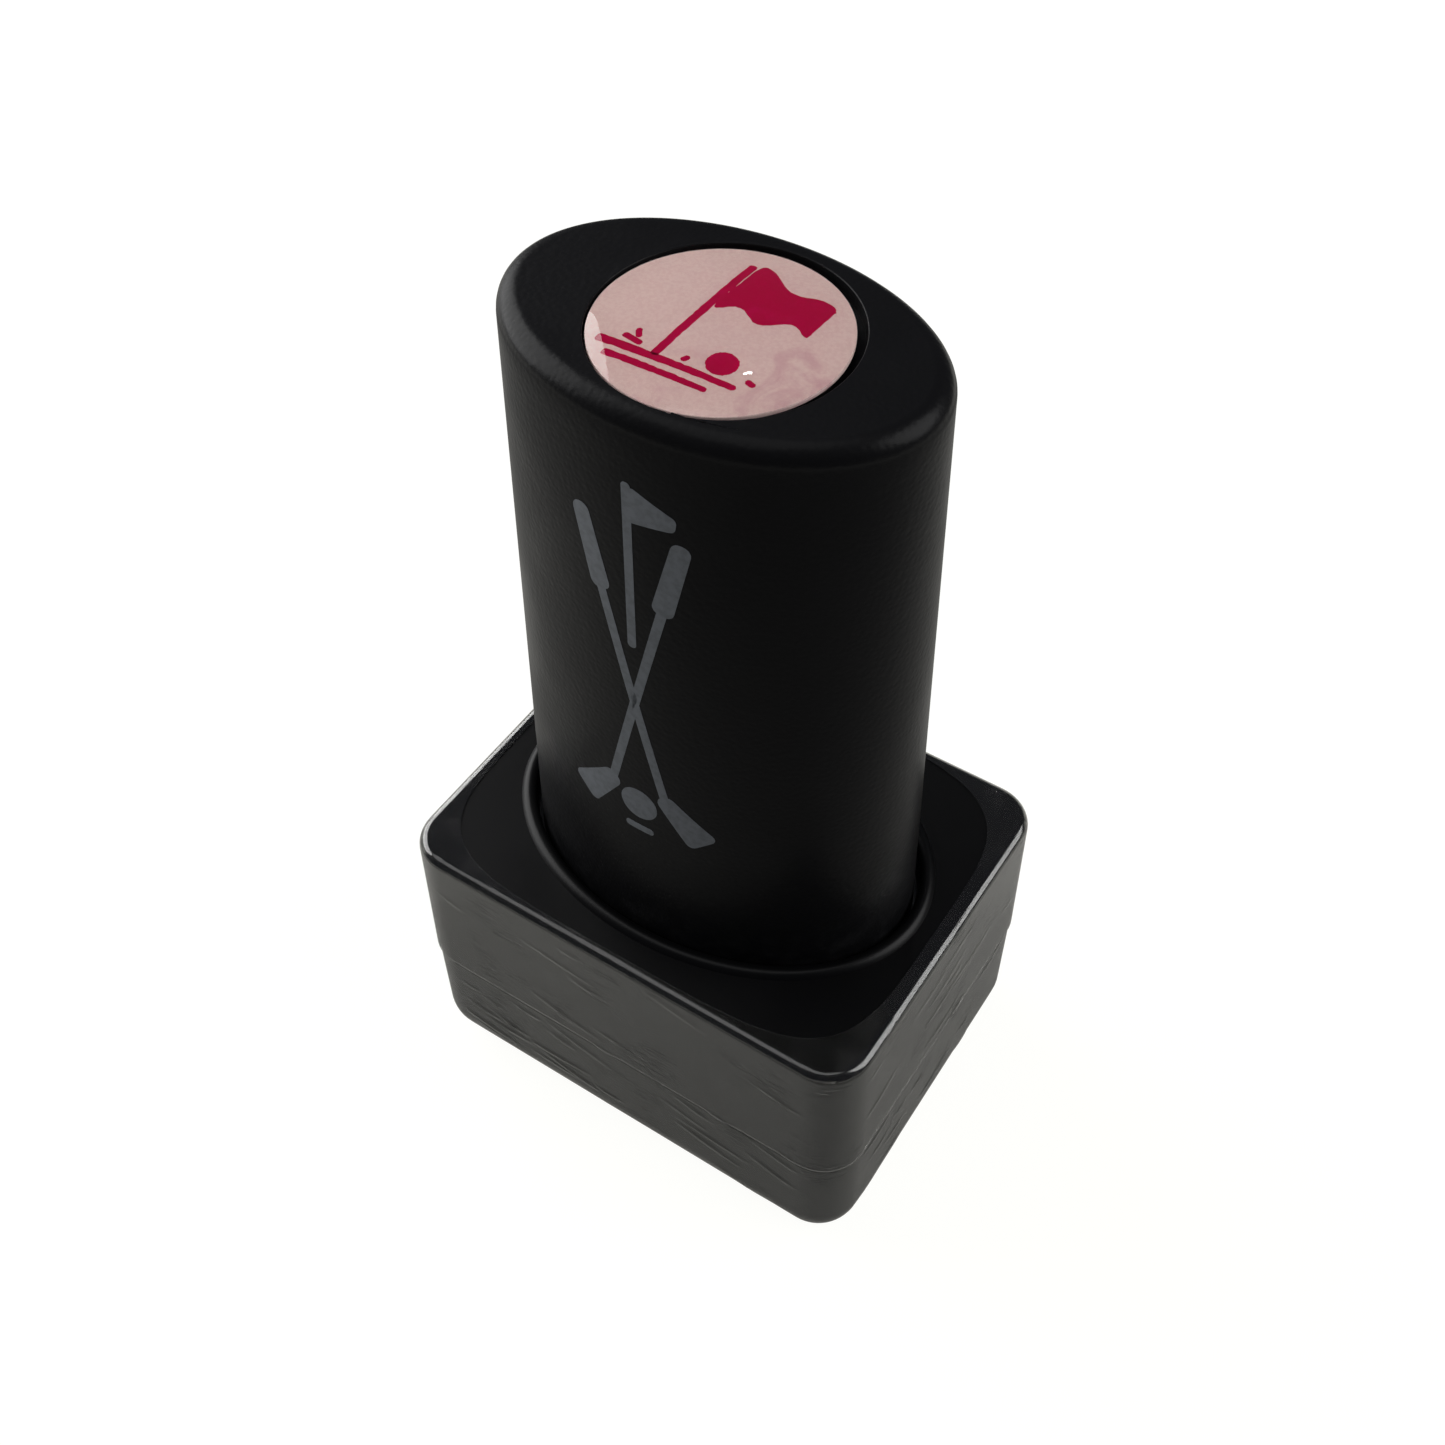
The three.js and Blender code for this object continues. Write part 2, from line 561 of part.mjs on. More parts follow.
const cap = new THREE.Group();
cap.add(dustCap(), capLiner(), shrinkFilmLower());

const stamp = new THREE.Group();
stamp.add(cap, housing, handle);

export default stamp;
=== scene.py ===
# %% [markdown]
# # A pre-inked golf ball stamp
# The object is a small marking stamp: an oval push handle with a domed label on top, which slides in a block base
# that stands on a dust cap. A clear shrink band is drawn tight round the base and the cap. The measured model gives
# every size and every joint. Here its outer shells are modelled again with fine edges, and the rest gets finishes.
# Loading that model must come first, because everything after it is placed from its boxes.

import math
import random

import bmesh
import bpy
from mathutils import Matrix, Vector, noise


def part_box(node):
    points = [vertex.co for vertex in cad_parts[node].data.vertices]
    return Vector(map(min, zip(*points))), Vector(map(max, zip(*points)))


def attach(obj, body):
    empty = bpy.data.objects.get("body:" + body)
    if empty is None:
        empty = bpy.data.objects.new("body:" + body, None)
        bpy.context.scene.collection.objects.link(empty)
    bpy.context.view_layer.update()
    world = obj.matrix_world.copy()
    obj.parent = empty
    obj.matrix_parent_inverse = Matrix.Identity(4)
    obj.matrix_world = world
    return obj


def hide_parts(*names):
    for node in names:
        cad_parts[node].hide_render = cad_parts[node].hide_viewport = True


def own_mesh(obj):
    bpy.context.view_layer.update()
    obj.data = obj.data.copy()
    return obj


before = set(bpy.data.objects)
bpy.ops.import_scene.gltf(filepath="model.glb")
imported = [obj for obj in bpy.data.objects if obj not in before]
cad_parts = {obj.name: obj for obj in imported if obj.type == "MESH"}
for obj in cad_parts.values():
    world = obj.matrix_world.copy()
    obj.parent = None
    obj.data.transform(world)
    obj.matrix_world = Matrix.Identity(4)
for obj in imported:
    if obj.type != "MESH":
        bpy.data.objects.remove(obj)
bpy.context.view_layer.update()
MM = 0.001
SAME_LEVEL = 0.002 * MM
SAME_POINT = 0.0005 * MM
random.seed(7)

# %% [markdown]
# ## Camera
# The camera is placed by the direction it looks from: an azimuth round the object and an elevation above the table.
# A small roll is added, since a hand-held camera is never quite level. The matrix is built from its three axes,
# which keeps the aim exact.

# %% Place the camera
CAMERA_AZIMUTH = math.radians(33.547)
CAMERA_ELEVATION = math.radians(49.718)
CAMERA_ROLL = math.radians(-0.52)
CAMERA_PLACE = Vector((35.255, -53.300, 105.105)) * MM
LENS_MM = 43.517
SENSOR_MM = 36.0


def camera_axes(azimuth, elevation, roll):
    """The right, up and backward directions of a camera that looks from this direction."""
    back = Vector((
        math.sin(azimuth) * math.cos(elevation),
        -math.cos(azimuth) * math.cos(elevation),
        math.sin(elevation),
    ))
    level = (-back).cross(Vector((0, 0, 1))).normalized()
    raised = level.cross(-back)
    right = level * math.cos(roll) + raised * math.sin(roll)
    up = raised * math.cos(roll) - level * math.sin(roll)
    return right, up, back


camera_data = bpy.data.cameras.new("camera")
camera = bpy.data.objects.new("camera", camera_data)
bpy.context.scene.collection.objects.link(camera)
turn = Matrix(camera_axes(CAMERA_AZIMUTH, CAMERA_ELEVATION, CAMERA_ROLL)).transposed().to_4x4()
camera.matrix_world = Matrix.Translation(CAMERA_PLACE) @ turn
camera_data.lens = LENS_MM
camera_data.sensor_width = SENSOR_MM
camera_data.clip_start = 0.001
bpy.context.scene.camera = camera
print("camera looks along", [round(v, 3) for v in -turn.col[2]])

# %% [markdown]
# ## Working tools
# Each new piece starts from a primitive and is shaped in edit mode. An operator works on everything that is
# selected, so each step first deselects all, and then picks vertices, edges or faces in code by where they are.

# %% Selection and object helpers
def clear_selection():
    """Leaves edit mode and deselects every object."""
    if bpy.context.mode != "OBJECT":
        bpy.ops.object.mode_set(mode="OBJECT")
    bpy.ops.object.select_all(action="DESELECT")


def only(obj):
    """Makes obj the one selected and active object."""
    clear_selection()
    obj.select_set(True)
    bpy.context.view_layer.objects.active = obj
    return obj


def start_object(name, size=(1, 1, 1)):
    """Names the new primitive, moves its size and place into its mesh and opens it, all selected, in edit mode."""
    obj = bpy.context.object
    obj.name = name
    obj.data.name = name
    obj.scale = size
    bpy.ops.object.transform_apply(location=True, rotation=True, scale=True)
    bpy.ops.object.mode_set(mode="EDIT")
    bpy.ops.mesh.select_all(action="SELECT")
    return obj


def start_circle(name, points, radius, place, filled=False, size=(1, 1, 1)):
    """A ring of edges or a filled disc, open in edit mode."""
    clear_selection()
    fill = "NGON" if filled else "NOTHING"
    bpy.ops.mesh.primitive_circle_add(vertices=points, radius=radius, fill_type=fill, location=place)
    return start_object(name, size)


def open_mesh(obj):
    """Opens an object in edit mode with everything selected."""
    only(obj)
    bpy.ops.object.mode_set(mode="EDIT")
    bpy.ops.mesh.select_all(action="SELECT")


def settle(obj, place, turn=(0, 0, 0)):
    """Turns an object, moves it to its place, and puts both into its mesh."""
    clear_selection()
    obj.rotation_euler = turn
    obj.location = place
    only(obj)
    bpy.ops.object.transform_apply(location=True, rotation=True, scale=True)


def raise_by(height):
    """Extrudes what is selected straight up."""
    bpy.ops.mesh.extrude_region_move(TRANSFORM_OT_translate={"value": (0, 0, height)})


def pick(obj, kind, test):
    """In edit mode, selects the verts, edges or faces that pass a test, and returns how many."""
    bpy.context.tool_settings.mesh_select_mode = (kind == "verts", kind == "edges", kind == "faces")
    bpy.ops.mesh.select_all(action="DESELECT")
    mesh = bmesh.from_edit_mesh(obj.data)
    found = [part for part in getattr(mesh, kind) if test(part)]
    for part in found:
        part.select_set(True)
    bmesh.update_edit_mesh(obj.data)
    return len(found)


def level_at(height):
    """A test for an edge or a face that lies wholly at a height."""
    return lambda part: all(abs(v.co.z - height) < SAME_LEVEL for v in part.verts)


def rim_at(height):
    """A test for an edge at a height that only one face, or none, uses."""
    return lambda edge: len(edge.link_faces) < 2 and level_at(height)(edge)


def upright(edge):
    """True for an edge that runs straight up."""
    a, b = (v.co for v in edge.verts)
    return (a.xy - b.xy).length < SAME_LEVEL and abs(a.z - b.z) > 0.01 * MM


def close_and_face_out():
    """Merges doubled points and points every face outwards, at the end of modelling."""
    bpy.context.tool_settings.mesh_select_mode = (True, False, False)
    bpy.ops.mesh.select_all(action="SELECT")
    bpy.ops.mesh.remove_doubles(threshold=SAME_POINT)
    bpy.ops.mesh.normals_make_consistent(inside=False)
    clear_selection()


def apply_modifier(obj, kind, **settings):
    """Adds a modifier with these settings and applies it."""
    only(obj)
    modifier = obj.modifiers.new(kind.lower(), kind)
    for key, value in settings.items():
        setattr(modifier, key, value)
    bpy.ops.object.modifier_apply(modifier=modifier.name)


def smooth(obj, degrees=40, weighted=True):
    """Smooth shading on gentle bends, and normals weighted by area so that flats stay flat."""
    only(obj)
    bpy.ops.object.shade_smooth_by_angle(angle=math.radians(degrees))
    if weighted:
        apply_modifier(obj, "WEIGHTED_NORMAL", keep_sharp=True, weight=80)


# %% Finishing helper
def open_edges(obj):
    """How many edges don't join exactly two faces."""
    mesh = bmesh.new()
    mesh.from_mesh(obj.data)
    count = sum(1 for edge in mesh.edges if len(edge.link_faces) != 2)
    mesh.free()
    return count


def finish_piece(obj, body, slot, material, *nodes):
    """Gives a finished piece its material, its body and the nodes that it stands for, and reports on it."""
    clear_selection()
    obj.data.materials.clear()
    obj.data.materials.append(material)
    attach(obj, body)
    if nodes:
        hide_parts(*nodes)
    print(obj.name, "faces", len(obj.data.polygons), "open edges", open_edges(obj))
    return obj


# %% [markdown]
# ## Pulling rings and rounding over
# An oval wall is a ring of edges that is extruded upwards and resized at each height, so its half-axes are exact.
# A block's edge is different: resizing would stretch its corner arcs. Insetting its flat face keeps them arcs, so a
# round-over is a few insets that follow a quarter circle, each raising the face as its outline comes in.

# %% Ring and edge tools
def pull_oval(stations, centre=(0, 0)):
    """Extrudes the selected ring through stations of (half-axis x, half-axis y, height)."""
    for (x0, y0, z0), (x1, y1, z1) in zip(stations, stations[1:]):
        raise_by(z1 - z0)
        bpy.ops.transform.resize(value=(x1 / x0, y1 / y0, 1), center_override=(centre[0], centre[1], 0))


def quarter_turn(steps):
    """Shares (in, along) of a quarter circle that starts along a wall and ends flat."""
    angles = [math.pi / 2 * i / steps for i in range(steps + 1)]
    return [(1 - math.cos(a), math.sin(a)) for a in angles]


def round_over(radius, steps, until=1.0):
    """Rounds the edge of the selected flat face. It rises along its normal as its outline comes in."""
    done_in, done_up = 0.0, 0.0
    for share_in, share_up in quarter_turn(steps)[1:]:
        if share_in > until:
            break
        bpy.ops.mesh.inset(thickness=radius * (share_in - done_in), depth=radius * (share_up - done_up))
        done_in, done_up = share_in, share_up
    return done_in, done_up


def rounded_box(name, half, z0, z1, corner, corner_steps):
    """A box on z0 to z1 whose upright edges are rounded, open in edit mode."""
    clear_selection()
    bpy.ops.mesh.primitive_cube_add(size=2, location=(0, 0, (z0 + z1) / 2))
    obj = start_object(name, (half[0], half[1], (z1 - z0) / 2))
    pick(obj, "edges", upright)
    bpy.ops.mesh.bevel(offset=corner, segments=corner_steps, affect="EDGES", clamp_overlap=False)
    return obj


# %% [markdown]
# ## Shared effects
# Some effects turn up in several finishes: the fine grain of a moulded or coated skin, the pale specks of dust that
# any dark plastic collects, and the wear that lightens an edge. Each is a node group with its own named inputs, so
# one recipe serves every material with other numbers. The groups put out only masks and heights.

# %% Node group tools
def new_group(name, inputs, outputs):
    """A shader node group with float inputs, given as name: default, and float outputs."""
    group = bpy.data.node_groups.new(name, "ShaderNodeTree")
    for label, default in inputs.items():
        socket = group.interface.new_socket(label, in_out="INPUT", socket_type="NodeSocketFloat")
        socket.default_value = default
    for label in outputs:
        group.interface.new_socket(label, in_out="OUTPUT", socket_type="NodeSocketFloat")
    return group, group.nodes.new("NodeGroupInput"), group.nodes.new("NodeGroupOutput")


def put(tree, socket, value):
    """Links a value that is a socket to an input, or sets the input to it."""
    if isinstance(value, bpy.types.NodeSocket):
        tree.links.new(value, socket)
    else:
        socket.default_value = value


def add_node(tree, kind, values=None, **settings):
    """Adds a node, sets its properties, and puts values or links on its inputs, by input name or number."""
    node = tree.nodes.new("ShaderNode" + kind)
    for key, value in settings.items():
        setattr(node, key, value)
    for key, value in (values or {}).items():
        put(tree, node.inputs[key], value)
    return node


def math_node(tree, operation, *values):
    """A Math node on sockets or numbers, which returns its output socket."""
    return add_node(tree, "Math", dict(enumerate(values)), operation=operation).outputs[0]


def object_place(tree):
    """Object coordinates, as a socket."""
    return add_node(tree, "TexCoord").outputs["Object"]


def noise_value(tree, place, scale, detail, **more):
    """The value of a Noise texture, as a socket."""
    return add_node(tree, "TexNoise", {"Vector": place, "Scale": scale, "Detail": detail, **more}).outputs[0]


def spread(tree, value, low, high, out_low=0.0, out_high=1.0):
    """Maps a value from low to high onto a new range, clamped and eased at both ends."""
    values = {"Value": value, "From Min": low, "From Max": high, "To Min": out_low, "To Max": out_high}
    return add_node(tree, "MapRange", values, interpolation_type="SMOOTHSTEP").outputs[0]


# %% Node groups: grain, dust and edge wear
def make_grain_group():
    """Leather-like grain: small rounded cells, broken up by noise. Sizes are in cells a metre."""
    group, given, result = new_group("fine_grain", {"Cells": 4000.0, "Waviness": 0.5}, ["Height", "Patches"])
    place = object_place(group)
    cells = add_node(group, "TexVoronoi", {"Vector": place, "Scale": given.outputs["Cells"]}, feature="SMOOTH_F1")
    noise_scale = math_node(group, "MULTIPLY", given.outputs["Cells"], 0.7)
    rough = noise_value(group, place, noise_scale, 4)
    mixed = math_node(group, "MULTIPLY", rough, given.outputs["Waviness"])
    group.links.new(math_node(group, "ADD", cells.outputs["Distance"], mixed), result.inputs["Height"])
    broad = noise_value(group, place, 130, 3)
    group.links.new(spread(group, broad, 0.35, 0.65), result.inputs["Patches"])
    return group


def make_dust_group():
    """Pale dust: a few of many small cells hold a speck. Amount is the share of cells that do."""
    group, given, result = new_group("dust", {"Cells": 700.0, "Amount": 0.05, "Size": 0.12}, ["Mask"])
    place = object_place(group)
    cells = add_node(group, "TexVoronoi", {"Vector": place, "Scale": given.outputs["Cells"]}, feature="F1")
    chosen = math_node(group, "LESS_THAN", cells.outputs["Color"], given.outputs["Amount"])
    near = math_node(group, "LESS_THAN", cells.outputs["Distance"], given.outputs["Size"])
    group.links.new(math_node(group, "MULTIPLY", chosen, near), result.inputs["Mask"])
    return group


def make_wear_group():
    """Worn edges: where the surface turns sharply outwards, broken up by noise."""
    group, given, result = new_group("edge_wear", {"Amount": 0.5}, ["Mask"])
    place = object_place(group)
    sharp = spread(group, add_node(group, "NewGeometry").outputs["Pointiness"], 0.52, 0.6)
    patchy = noise_value(group, place, 900, 4)
    broken = math_node(group, "MULTIPLY", sharp, spread(group, patchy, 0.4, 0.7))
    group.links.new(math_node(group, "MULTIPLY", broken, given.outputs["Amount"]), result.inputs["Mask"])
    return group


grain_group = make_grain_group()
dust_group = make_dust_group()
wear_group = make_wear_group()
print("node groups:", [g.name for g in (grain_group, dust_group, wear_group)])


# %% Material tools
def new_material(name, **plain):
    """A material with a Principled shader. Uniform numbers and colours are set on its own sockets."""
    material = bpy.data.materials.new(name)
    material.use_nodes = True
    tree = material.node_tree
    shader = tree.nodes["Principled BSDF"]
    for label, value in plain.items():
        shader.inputs[label.replace("_", " ")].default_value = value
    return material, tree, shader


def use_group(tree, group, **values):
    """Places a node group in a material with its own values."""
    node = tree.nodes.new("ShaderNodeGroup")
    node.node_tree = group
    for label, value in values.items():
        put(tree, node.inputs[label], value)
    return node


def mix_colours(tree, share, first, second):
    """A colour between two, by a share socket or number."""
    first, second = [(*value, 1) if isinstance(value, tuple) else value for value in (first, second)]
    return add_node(tree, "Mix", {"Factor": share, 6: first, 7: second}, data_type="RGBA").outputs[2]


def feed(tree, shader, height=None, depth=0.0, **sockets):
    """Links sockets to the shader's inputs by name. A height with its depth in metres becomes the normal."""
    if height:
        sockets["Normal"] = add_node(tree, "Bump", {"Height": height, "Distance": depth, "Strength": 1.0}).outputs[0]
    for label, socket in sockets.items():
        tree.links.new(socket, shader.inputs[label.replace("_", " ")])


def plastic(name, colour, roughness, cells, depth, patch=0.05, dust=0.02, wear=0.3, **plain):
    """A moulded or coated plastic skin: grain, uneven gloss, dust and slightly worn edges."""
    material, tree, shader = new_material(name, **plain)
    grain = use_group(tree, grain_group, Cells=cells)
    specks = use_group(tree, dust_group, Amount=dust)
    worn = use_group(tree, wear_group, Amount=wear)
    pale = tuple(min(1.0, c * 3 + 0.02) for c in colour)
    base = mix_colours(tree, worn.outputs["Mask"], colour, pale)
    base = mix_colours(tree, specks.outputs["Mask"], base, (0.4, 0.39, 0.36))
    gloss = spread(tree, grain.outputs["Patches"], 0.0, 1.0, roughness - patch, roughness + patch)
    feed(tree, shader, grain.outputs["Height"], depth, Base_Color=base, Roughness=gloss)
    return material


# %% [markdown]
# ## Finishes
# The handle has a soft-touch coat: almost black, dull, and with a fine leather-like grain that shows only where
# light grazes it. The base and the cap are plain black moulded plastic with more gloss. The inner parts are dark
# grey, the die and the pad are soaked in magenta ink, and the springs and screws are bright steel.

# %% Plastic, rubber, foam and steel
soft_touch = plastic("soft_touch_black", (0.006, 0.006, 0.0067), 0.34, 3600.0, 0.000012, patch=0.03,
                     Specular_IOR_Level=0.1)
base_black = plastic("moulded_black", (0.0022, 0.0022, 0.0025), 0.34, 5200.0, 0.000002, patch=0.02,
                     Specular_IOR_Level=0.2)
inner_grey = plastic("inner_grey", (0.075, 0.08, 0.087), 0.45, 4000.0, 0.000006)
ring_rubber = plastic("ring_rubber", (0.03, 0.03, 0.032), 0.75, 3000.0, 0.00001, wear=0.0)
liner_foam = plastic("liner_foam", (0.7, 0.68, 0.63), 0.85, 2500.0, 0.00003, dust=0.0, wear=0.0)
die_foam = plastic("die_foam", (0.28, 0.02, 0.09), 0.6, 5000.0, 0.00003, dust=0.0, wear=0.0)
ink_felt = plastic("ink_felt", (0.16, 0.008, 0.045), 0.9, 2200.0, 0.00006, dust=0.0, wear=0.0)


def steel(name, colour, roughness):
    """Bright metal with fine drawn or turned lines and uneven gloss."""
    material, tree, shader = new_material(name, Metallic=1.0)
    place = object_place(tree)
    lines = noise_value(tree, place, 3000, 3)
    shade = mix_colours(tree, spread(tree, lines, 0.4, 0.6), colour, tuple(c * 0.75 for c in colour))
    gloss = spread(tree, lines, 0.3, 0.7, roughness - 0.08, roughness + 0.08)
    feed(tree, shader, lines, 0.004 * MM, Base_Color=shade, Roughness=gloss)
    return material


spring_steel = steel("spring_steel", (0.62, 0.63, 0.65), 0.25)
screw_steel = steel("screw_steel", (0.5, 0.51, 0.53), 0.35)
print("materials:", len(bpy.data.materials))

# %% [markdown]
# ## Handle
# The handle is an oval tube, closed on top, that gets slightly slimmer upwards so that it leaves its mould. It could
# be a scaled cylinder with a bevel, but the oval's edge is rounded evenly all round. So a ring is pulled up through
# measured stations, its last ones on a quarter circle. The label's recess cuts a little into that round edge, and
# a boolean with a round, stepped cutter does exactly what the mill that made the mould did.

# %% Handle wall
HANDLE_FOOT_HALF = Vector((12.3, 8.57)) * MM
HANDLE_TAPER = 0.99 * MM
HANDLE_EDGE_R = 1.1 * MM
HANDLE_WALL = 1.5 * MM
HANDLE_CEILING = 1.8 * MM
OVAL_POINTS = 192

handle_low, handle_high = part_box("handle_shell")
housing_low, housing_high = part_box("base_housing")
label_low, label_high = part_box("label_disc")
LABEL_CENTRE = (label_low + label_high) / 2
LABEL_R = (label_high.x - label_low.x) / 2
HOUSING_TOP = 20.05 * MM


def handle_half(height, grown=0.0):
    """Half-axes of the handle's wall at a height, grown by a little."""
    come_in = HANDLE_TAPER * (height - HOUSING_TOP) / (handle_high.z - HOUSING_TOP)
    return (HANDLE_FOOT_HALF.x - come_in + grown, HANDLE_FOOT_HALF.y - come_in + grown)


def handle_stations():
    """Stations of the outer wall from the foot to the rounded top edge."""
    edge_start = handle_high.z - HANDLE_EDGE_R
    heights = [handle_low.z, HOUSING_TOP + 4 * MM, 32 * MM, 44 * MM, edge_start - 1 * MM]
    stations = [(*handle_half(z), z) for z in heights]
    for share_in, share_up in quarter_turn(9):
        z = edge_start + HANDLE_EDGE_R * share_up
        stations.append((*handle_half(z, -HANDLE_EDGE_R * share_in), z))
    return stations


def model_handle():
    """The hollow handle, before its label recess is cut."""
    foot = (*handle_half(handle_low.z), 1)
    obj = start_circle("handle", OVAL_POINTS, 1, (0, 0, handle_low.z), size=foot)
    pull_oval(handle_stations())
    bpy.ops.mesh.edge_face_add()
    pick(obj, "edges", rim_at(handle_low.z))
    ceiling = label_low.z - HANDLE_CEILING
    inside = [(*handle_half(handle_low.z), handle_low.z)]
    inside += [(*handle_half(z, -HANDLE_WALL), z) for z in (handle_low.z, ceiling)]
    pull_oval(inside)
    bpy.ops.mesh.edge_face_add()
    close_and_face_out()
    return obj


handle = model_handle()
print("handle rings:", len(handle_stations()), "open edges:", open_edges(handle))

# %% Label recess
RECESS_R = LABEL_R + 0.31 * MM
RECESS_EDGE = 0.07 * MM
RECESS_CENTRE = LABEL_CENTRE.xy + Vector((0.09, 0.2)) * MM
SEAT_R = LABEL_R - 0.4 * MM
GROOVE_DEPTH = 0.55 * MM
ROUND_POINTS = 144


def recess_cutter():
    """A round cutter with a step in its end, which leaves a seat for the label inside a deeper groove."""
    obj = start_circle("cutter", ROUND_POINTS, SEAT_R, (*RECESS_CENTRE, label_low.z), filled=True)
    groove = label_low.z - GROOVE_DEPTH
    stations = [(SEAT_R, label_low.z), (SEAT_R, groove), (RECESS_R, groove), (RECESS_R, label_low.z + 2 * MM)]
    pick(obj, "edges", lambda e: True)
    pull_oval([(r, r, z) for r, z in stations], centre=RECESS_CENTRE)
    bpy.ops.mesh.edge_face_add()
    close_and_face_out()
    return obj


def cut_recess(obj):
    """Cuts the round recess for the label into the top, and breaks its sharp rim."""
    cutter = recess_cutter()
    apply_modifier(obj, "BOOLEAN", operation="DIFFERENCE", object=cutter, solver="EXACT")
    bpy.data.objects.remove(cutter)
    open_mesh(obj)

    def on_rim(edge):
        far = [abs((v.co.xy - RECESS_CENTRE).length - RECESS_R) < 0.01 * MM for v in edge.verts]
        return all(far) and all(v.co.z > label_high.z + 0.05 * MM for v in edge.verts)

    count = pick(obj, "edges", on_rim)
    bpy.ops.mesh.bevel(offset=RECESS_EDGE, segments=3, affect="EDGES")
    close_and_face_out()
    return count


print("rim edges softened:", cut_recess(handle))
smooth(handle, 35)
finish_piece(handle, "handle", "soft_touch", soft_touch, "handle_shell")

# %% [markdown]
# ## Label and its print
# The label is a pale pinkish disc in the recess, printed in magenta so that the owner sees what the die prints. A
# print could be painted by nodes, but flat shapes cut from primitives stay crisp at any size. Here it is a plain
# pin flag, a ball and a green. Its edges are a little wavy, as ink is when it spreads on paper.

# %% Label disc
LABEL_PALE = (0.98, 0.75, 0.69)
LABEL_DEEP = (0.93, 0.68, 0.63)
LABEL_SMEAR = (0.72, 0.36, 0.41)
LABEL_EDGE = 0.04 * MM


def label_paper():
    """Pale pink paper with faint, cloudy smears of ink towards one side."""
    material, tree, shader = new_material("label_paper", Roughness=0.5)
    place = object_place(tree)
    centred = add_node(tree, "Mapping", {"Vector": place, "Location": tuple(-LABEL_CENTRE)}).outputs[0]
    fibres = noise_value(tree, centred, 6000, 3)
    clouds = noise_value(tree, centred, 420, 3, Distortion=1.2)
    side = add_node(tree, "SeparateXYZ", {"Vector": centred})
    right_side = spread(tree, math_node(tree, "SUBTRACT", side.outputs[0], side.outputs[1]), -0.001, 0.006)
    smear = math_node(tree, "MULTIPLY", spread(tree, clouds, 0.48, 0.72), right_side)
    paper = mix_colours(tree, spread(tree, fibres, 0.35, 0.65), LABEL_PALE, LABEL_DEEP)
    tinted = mix_colours(tree, math_node(tree, "MULTIPLY", smear, 0.55), paper, LABEL_SMEAR)
    feed(tree, shader, fibres, 0.004 * MM, Base_Color=tinted)
    return material


label = start_circle("label", ROUND_POINTS, LABEL_R, (*LABEL_CENTRE.xy, label_low.z), filled=True)
raise_by(label_high.z - label_low.z - LABEL_EDGE)
round_over(LABEL_EDGE, 3)
close_and_face_out()
smooth(label)
finish_piece(label, "handle", "label_print", label_paper(), "label_disc")

# %% [markdown]
# ## Flat shapes for prints
# Both prints are drawn flat, in a plane, and then laid on their surface. A stroke is a plane that is stretched and
# tapered, with its corners rounded by a vertex bevel. The sheet is cut into narrow strips, so that it can follow a
# curved wall, and Solidify gives it the thickness of a coat of ink.

# %% Drawing tools
INK = 0.008 * MM
INK_LIFT = 0.0005 * MM
RAGGEDNESS = 0.035 * MM


def flat_shape(kind, centre, size, angle=0.0, taper=1.0, round_by=0.0):
    """A flat stroke or disc in the ground plane. Returns its object."""
    stretch = (size[0] * MM, size[1] * MM, 1)
    if kind == "disc":
        obj = start_circle("shape", 64, 0.5, (0, 0, 0), filled=True, size=stretch)
    else:
        clear_selection()
        bpy.ops.mesh.primitive_plane_add(size=1)
        obj = start_object("shape", stretch)
    if taper != 1.0:
        pick(obj, "verts", lambda v: v.co.x > 0)
        bpy.ops.transform.resize(value=(1, taper, 1), center_override=(0, 0, 0))
    if round_by:
        bpy.ops.mesh.select_all(action="SELECT")
        bpy.ops.mesh.bevel(offset=round_by * MM, segments=5, affect="VERTICES")
    settle(obj, (centre[0] * MM, centre[1] * MM, 0), (0, 0, math.radians(angle)))
    return obj


def line(start, end, width, taper=1.0, round_by=None):
    """A straight stroke between two points, in millimetres."""
    run = Vector(end) - Vector(start)
    middle = (Vector(start) + Vector(end)) / 2
    rounding = 0.45 * width * min(1, taper) if round_by is None else round_by
    return flat_shape("plane", middle, (run.length, width), math.degrees(math.atan2(run.y, run.x)), taper, rounding)


def join_shapes(name, shapes):
    """One object made of all the flat shapes."""
    clear_selection()
    for shape in shapes:
        shape.select_set(True)
    bpy.context.view_layer.objects.active = shapes[0]
    bpy.ops.object.join()
    shapes[0].name = name
    shapes[0].data.name = name
    return shapes[0]


def cut_into_strips(obj, axis, step):
    """Slices the flat sheet square to an axis at even steps."""
    open_mesh(obj)
    places = [v.co[axis] for v in obj.data.vertices]
    place = min(places) + step / 2
    normal = [0, 0, 0]
    normal[axis] = 1
    while place < max(places):
        bpy.ops.mesh.select_all(action="SELECT")
        bpy.ops.mesh.bisect(plane_co=[place if i == axis else 0 for i in range(3)], plane_no=normal)
        place += step
    clear_selection()


# %% Print on the label
RIPPLE_PLACE = bpy.data.objects.new("ripple_place", None)
bpy.context.scene.collection.objects.link(RIPPLE_PLACE)
RIPPLE_PLACE.scale = (4.6 * MM,) * 3
RIPPLE_PLACE.location = (0.4 * MM, 0, 0)
bpy.context.view_layer.update()


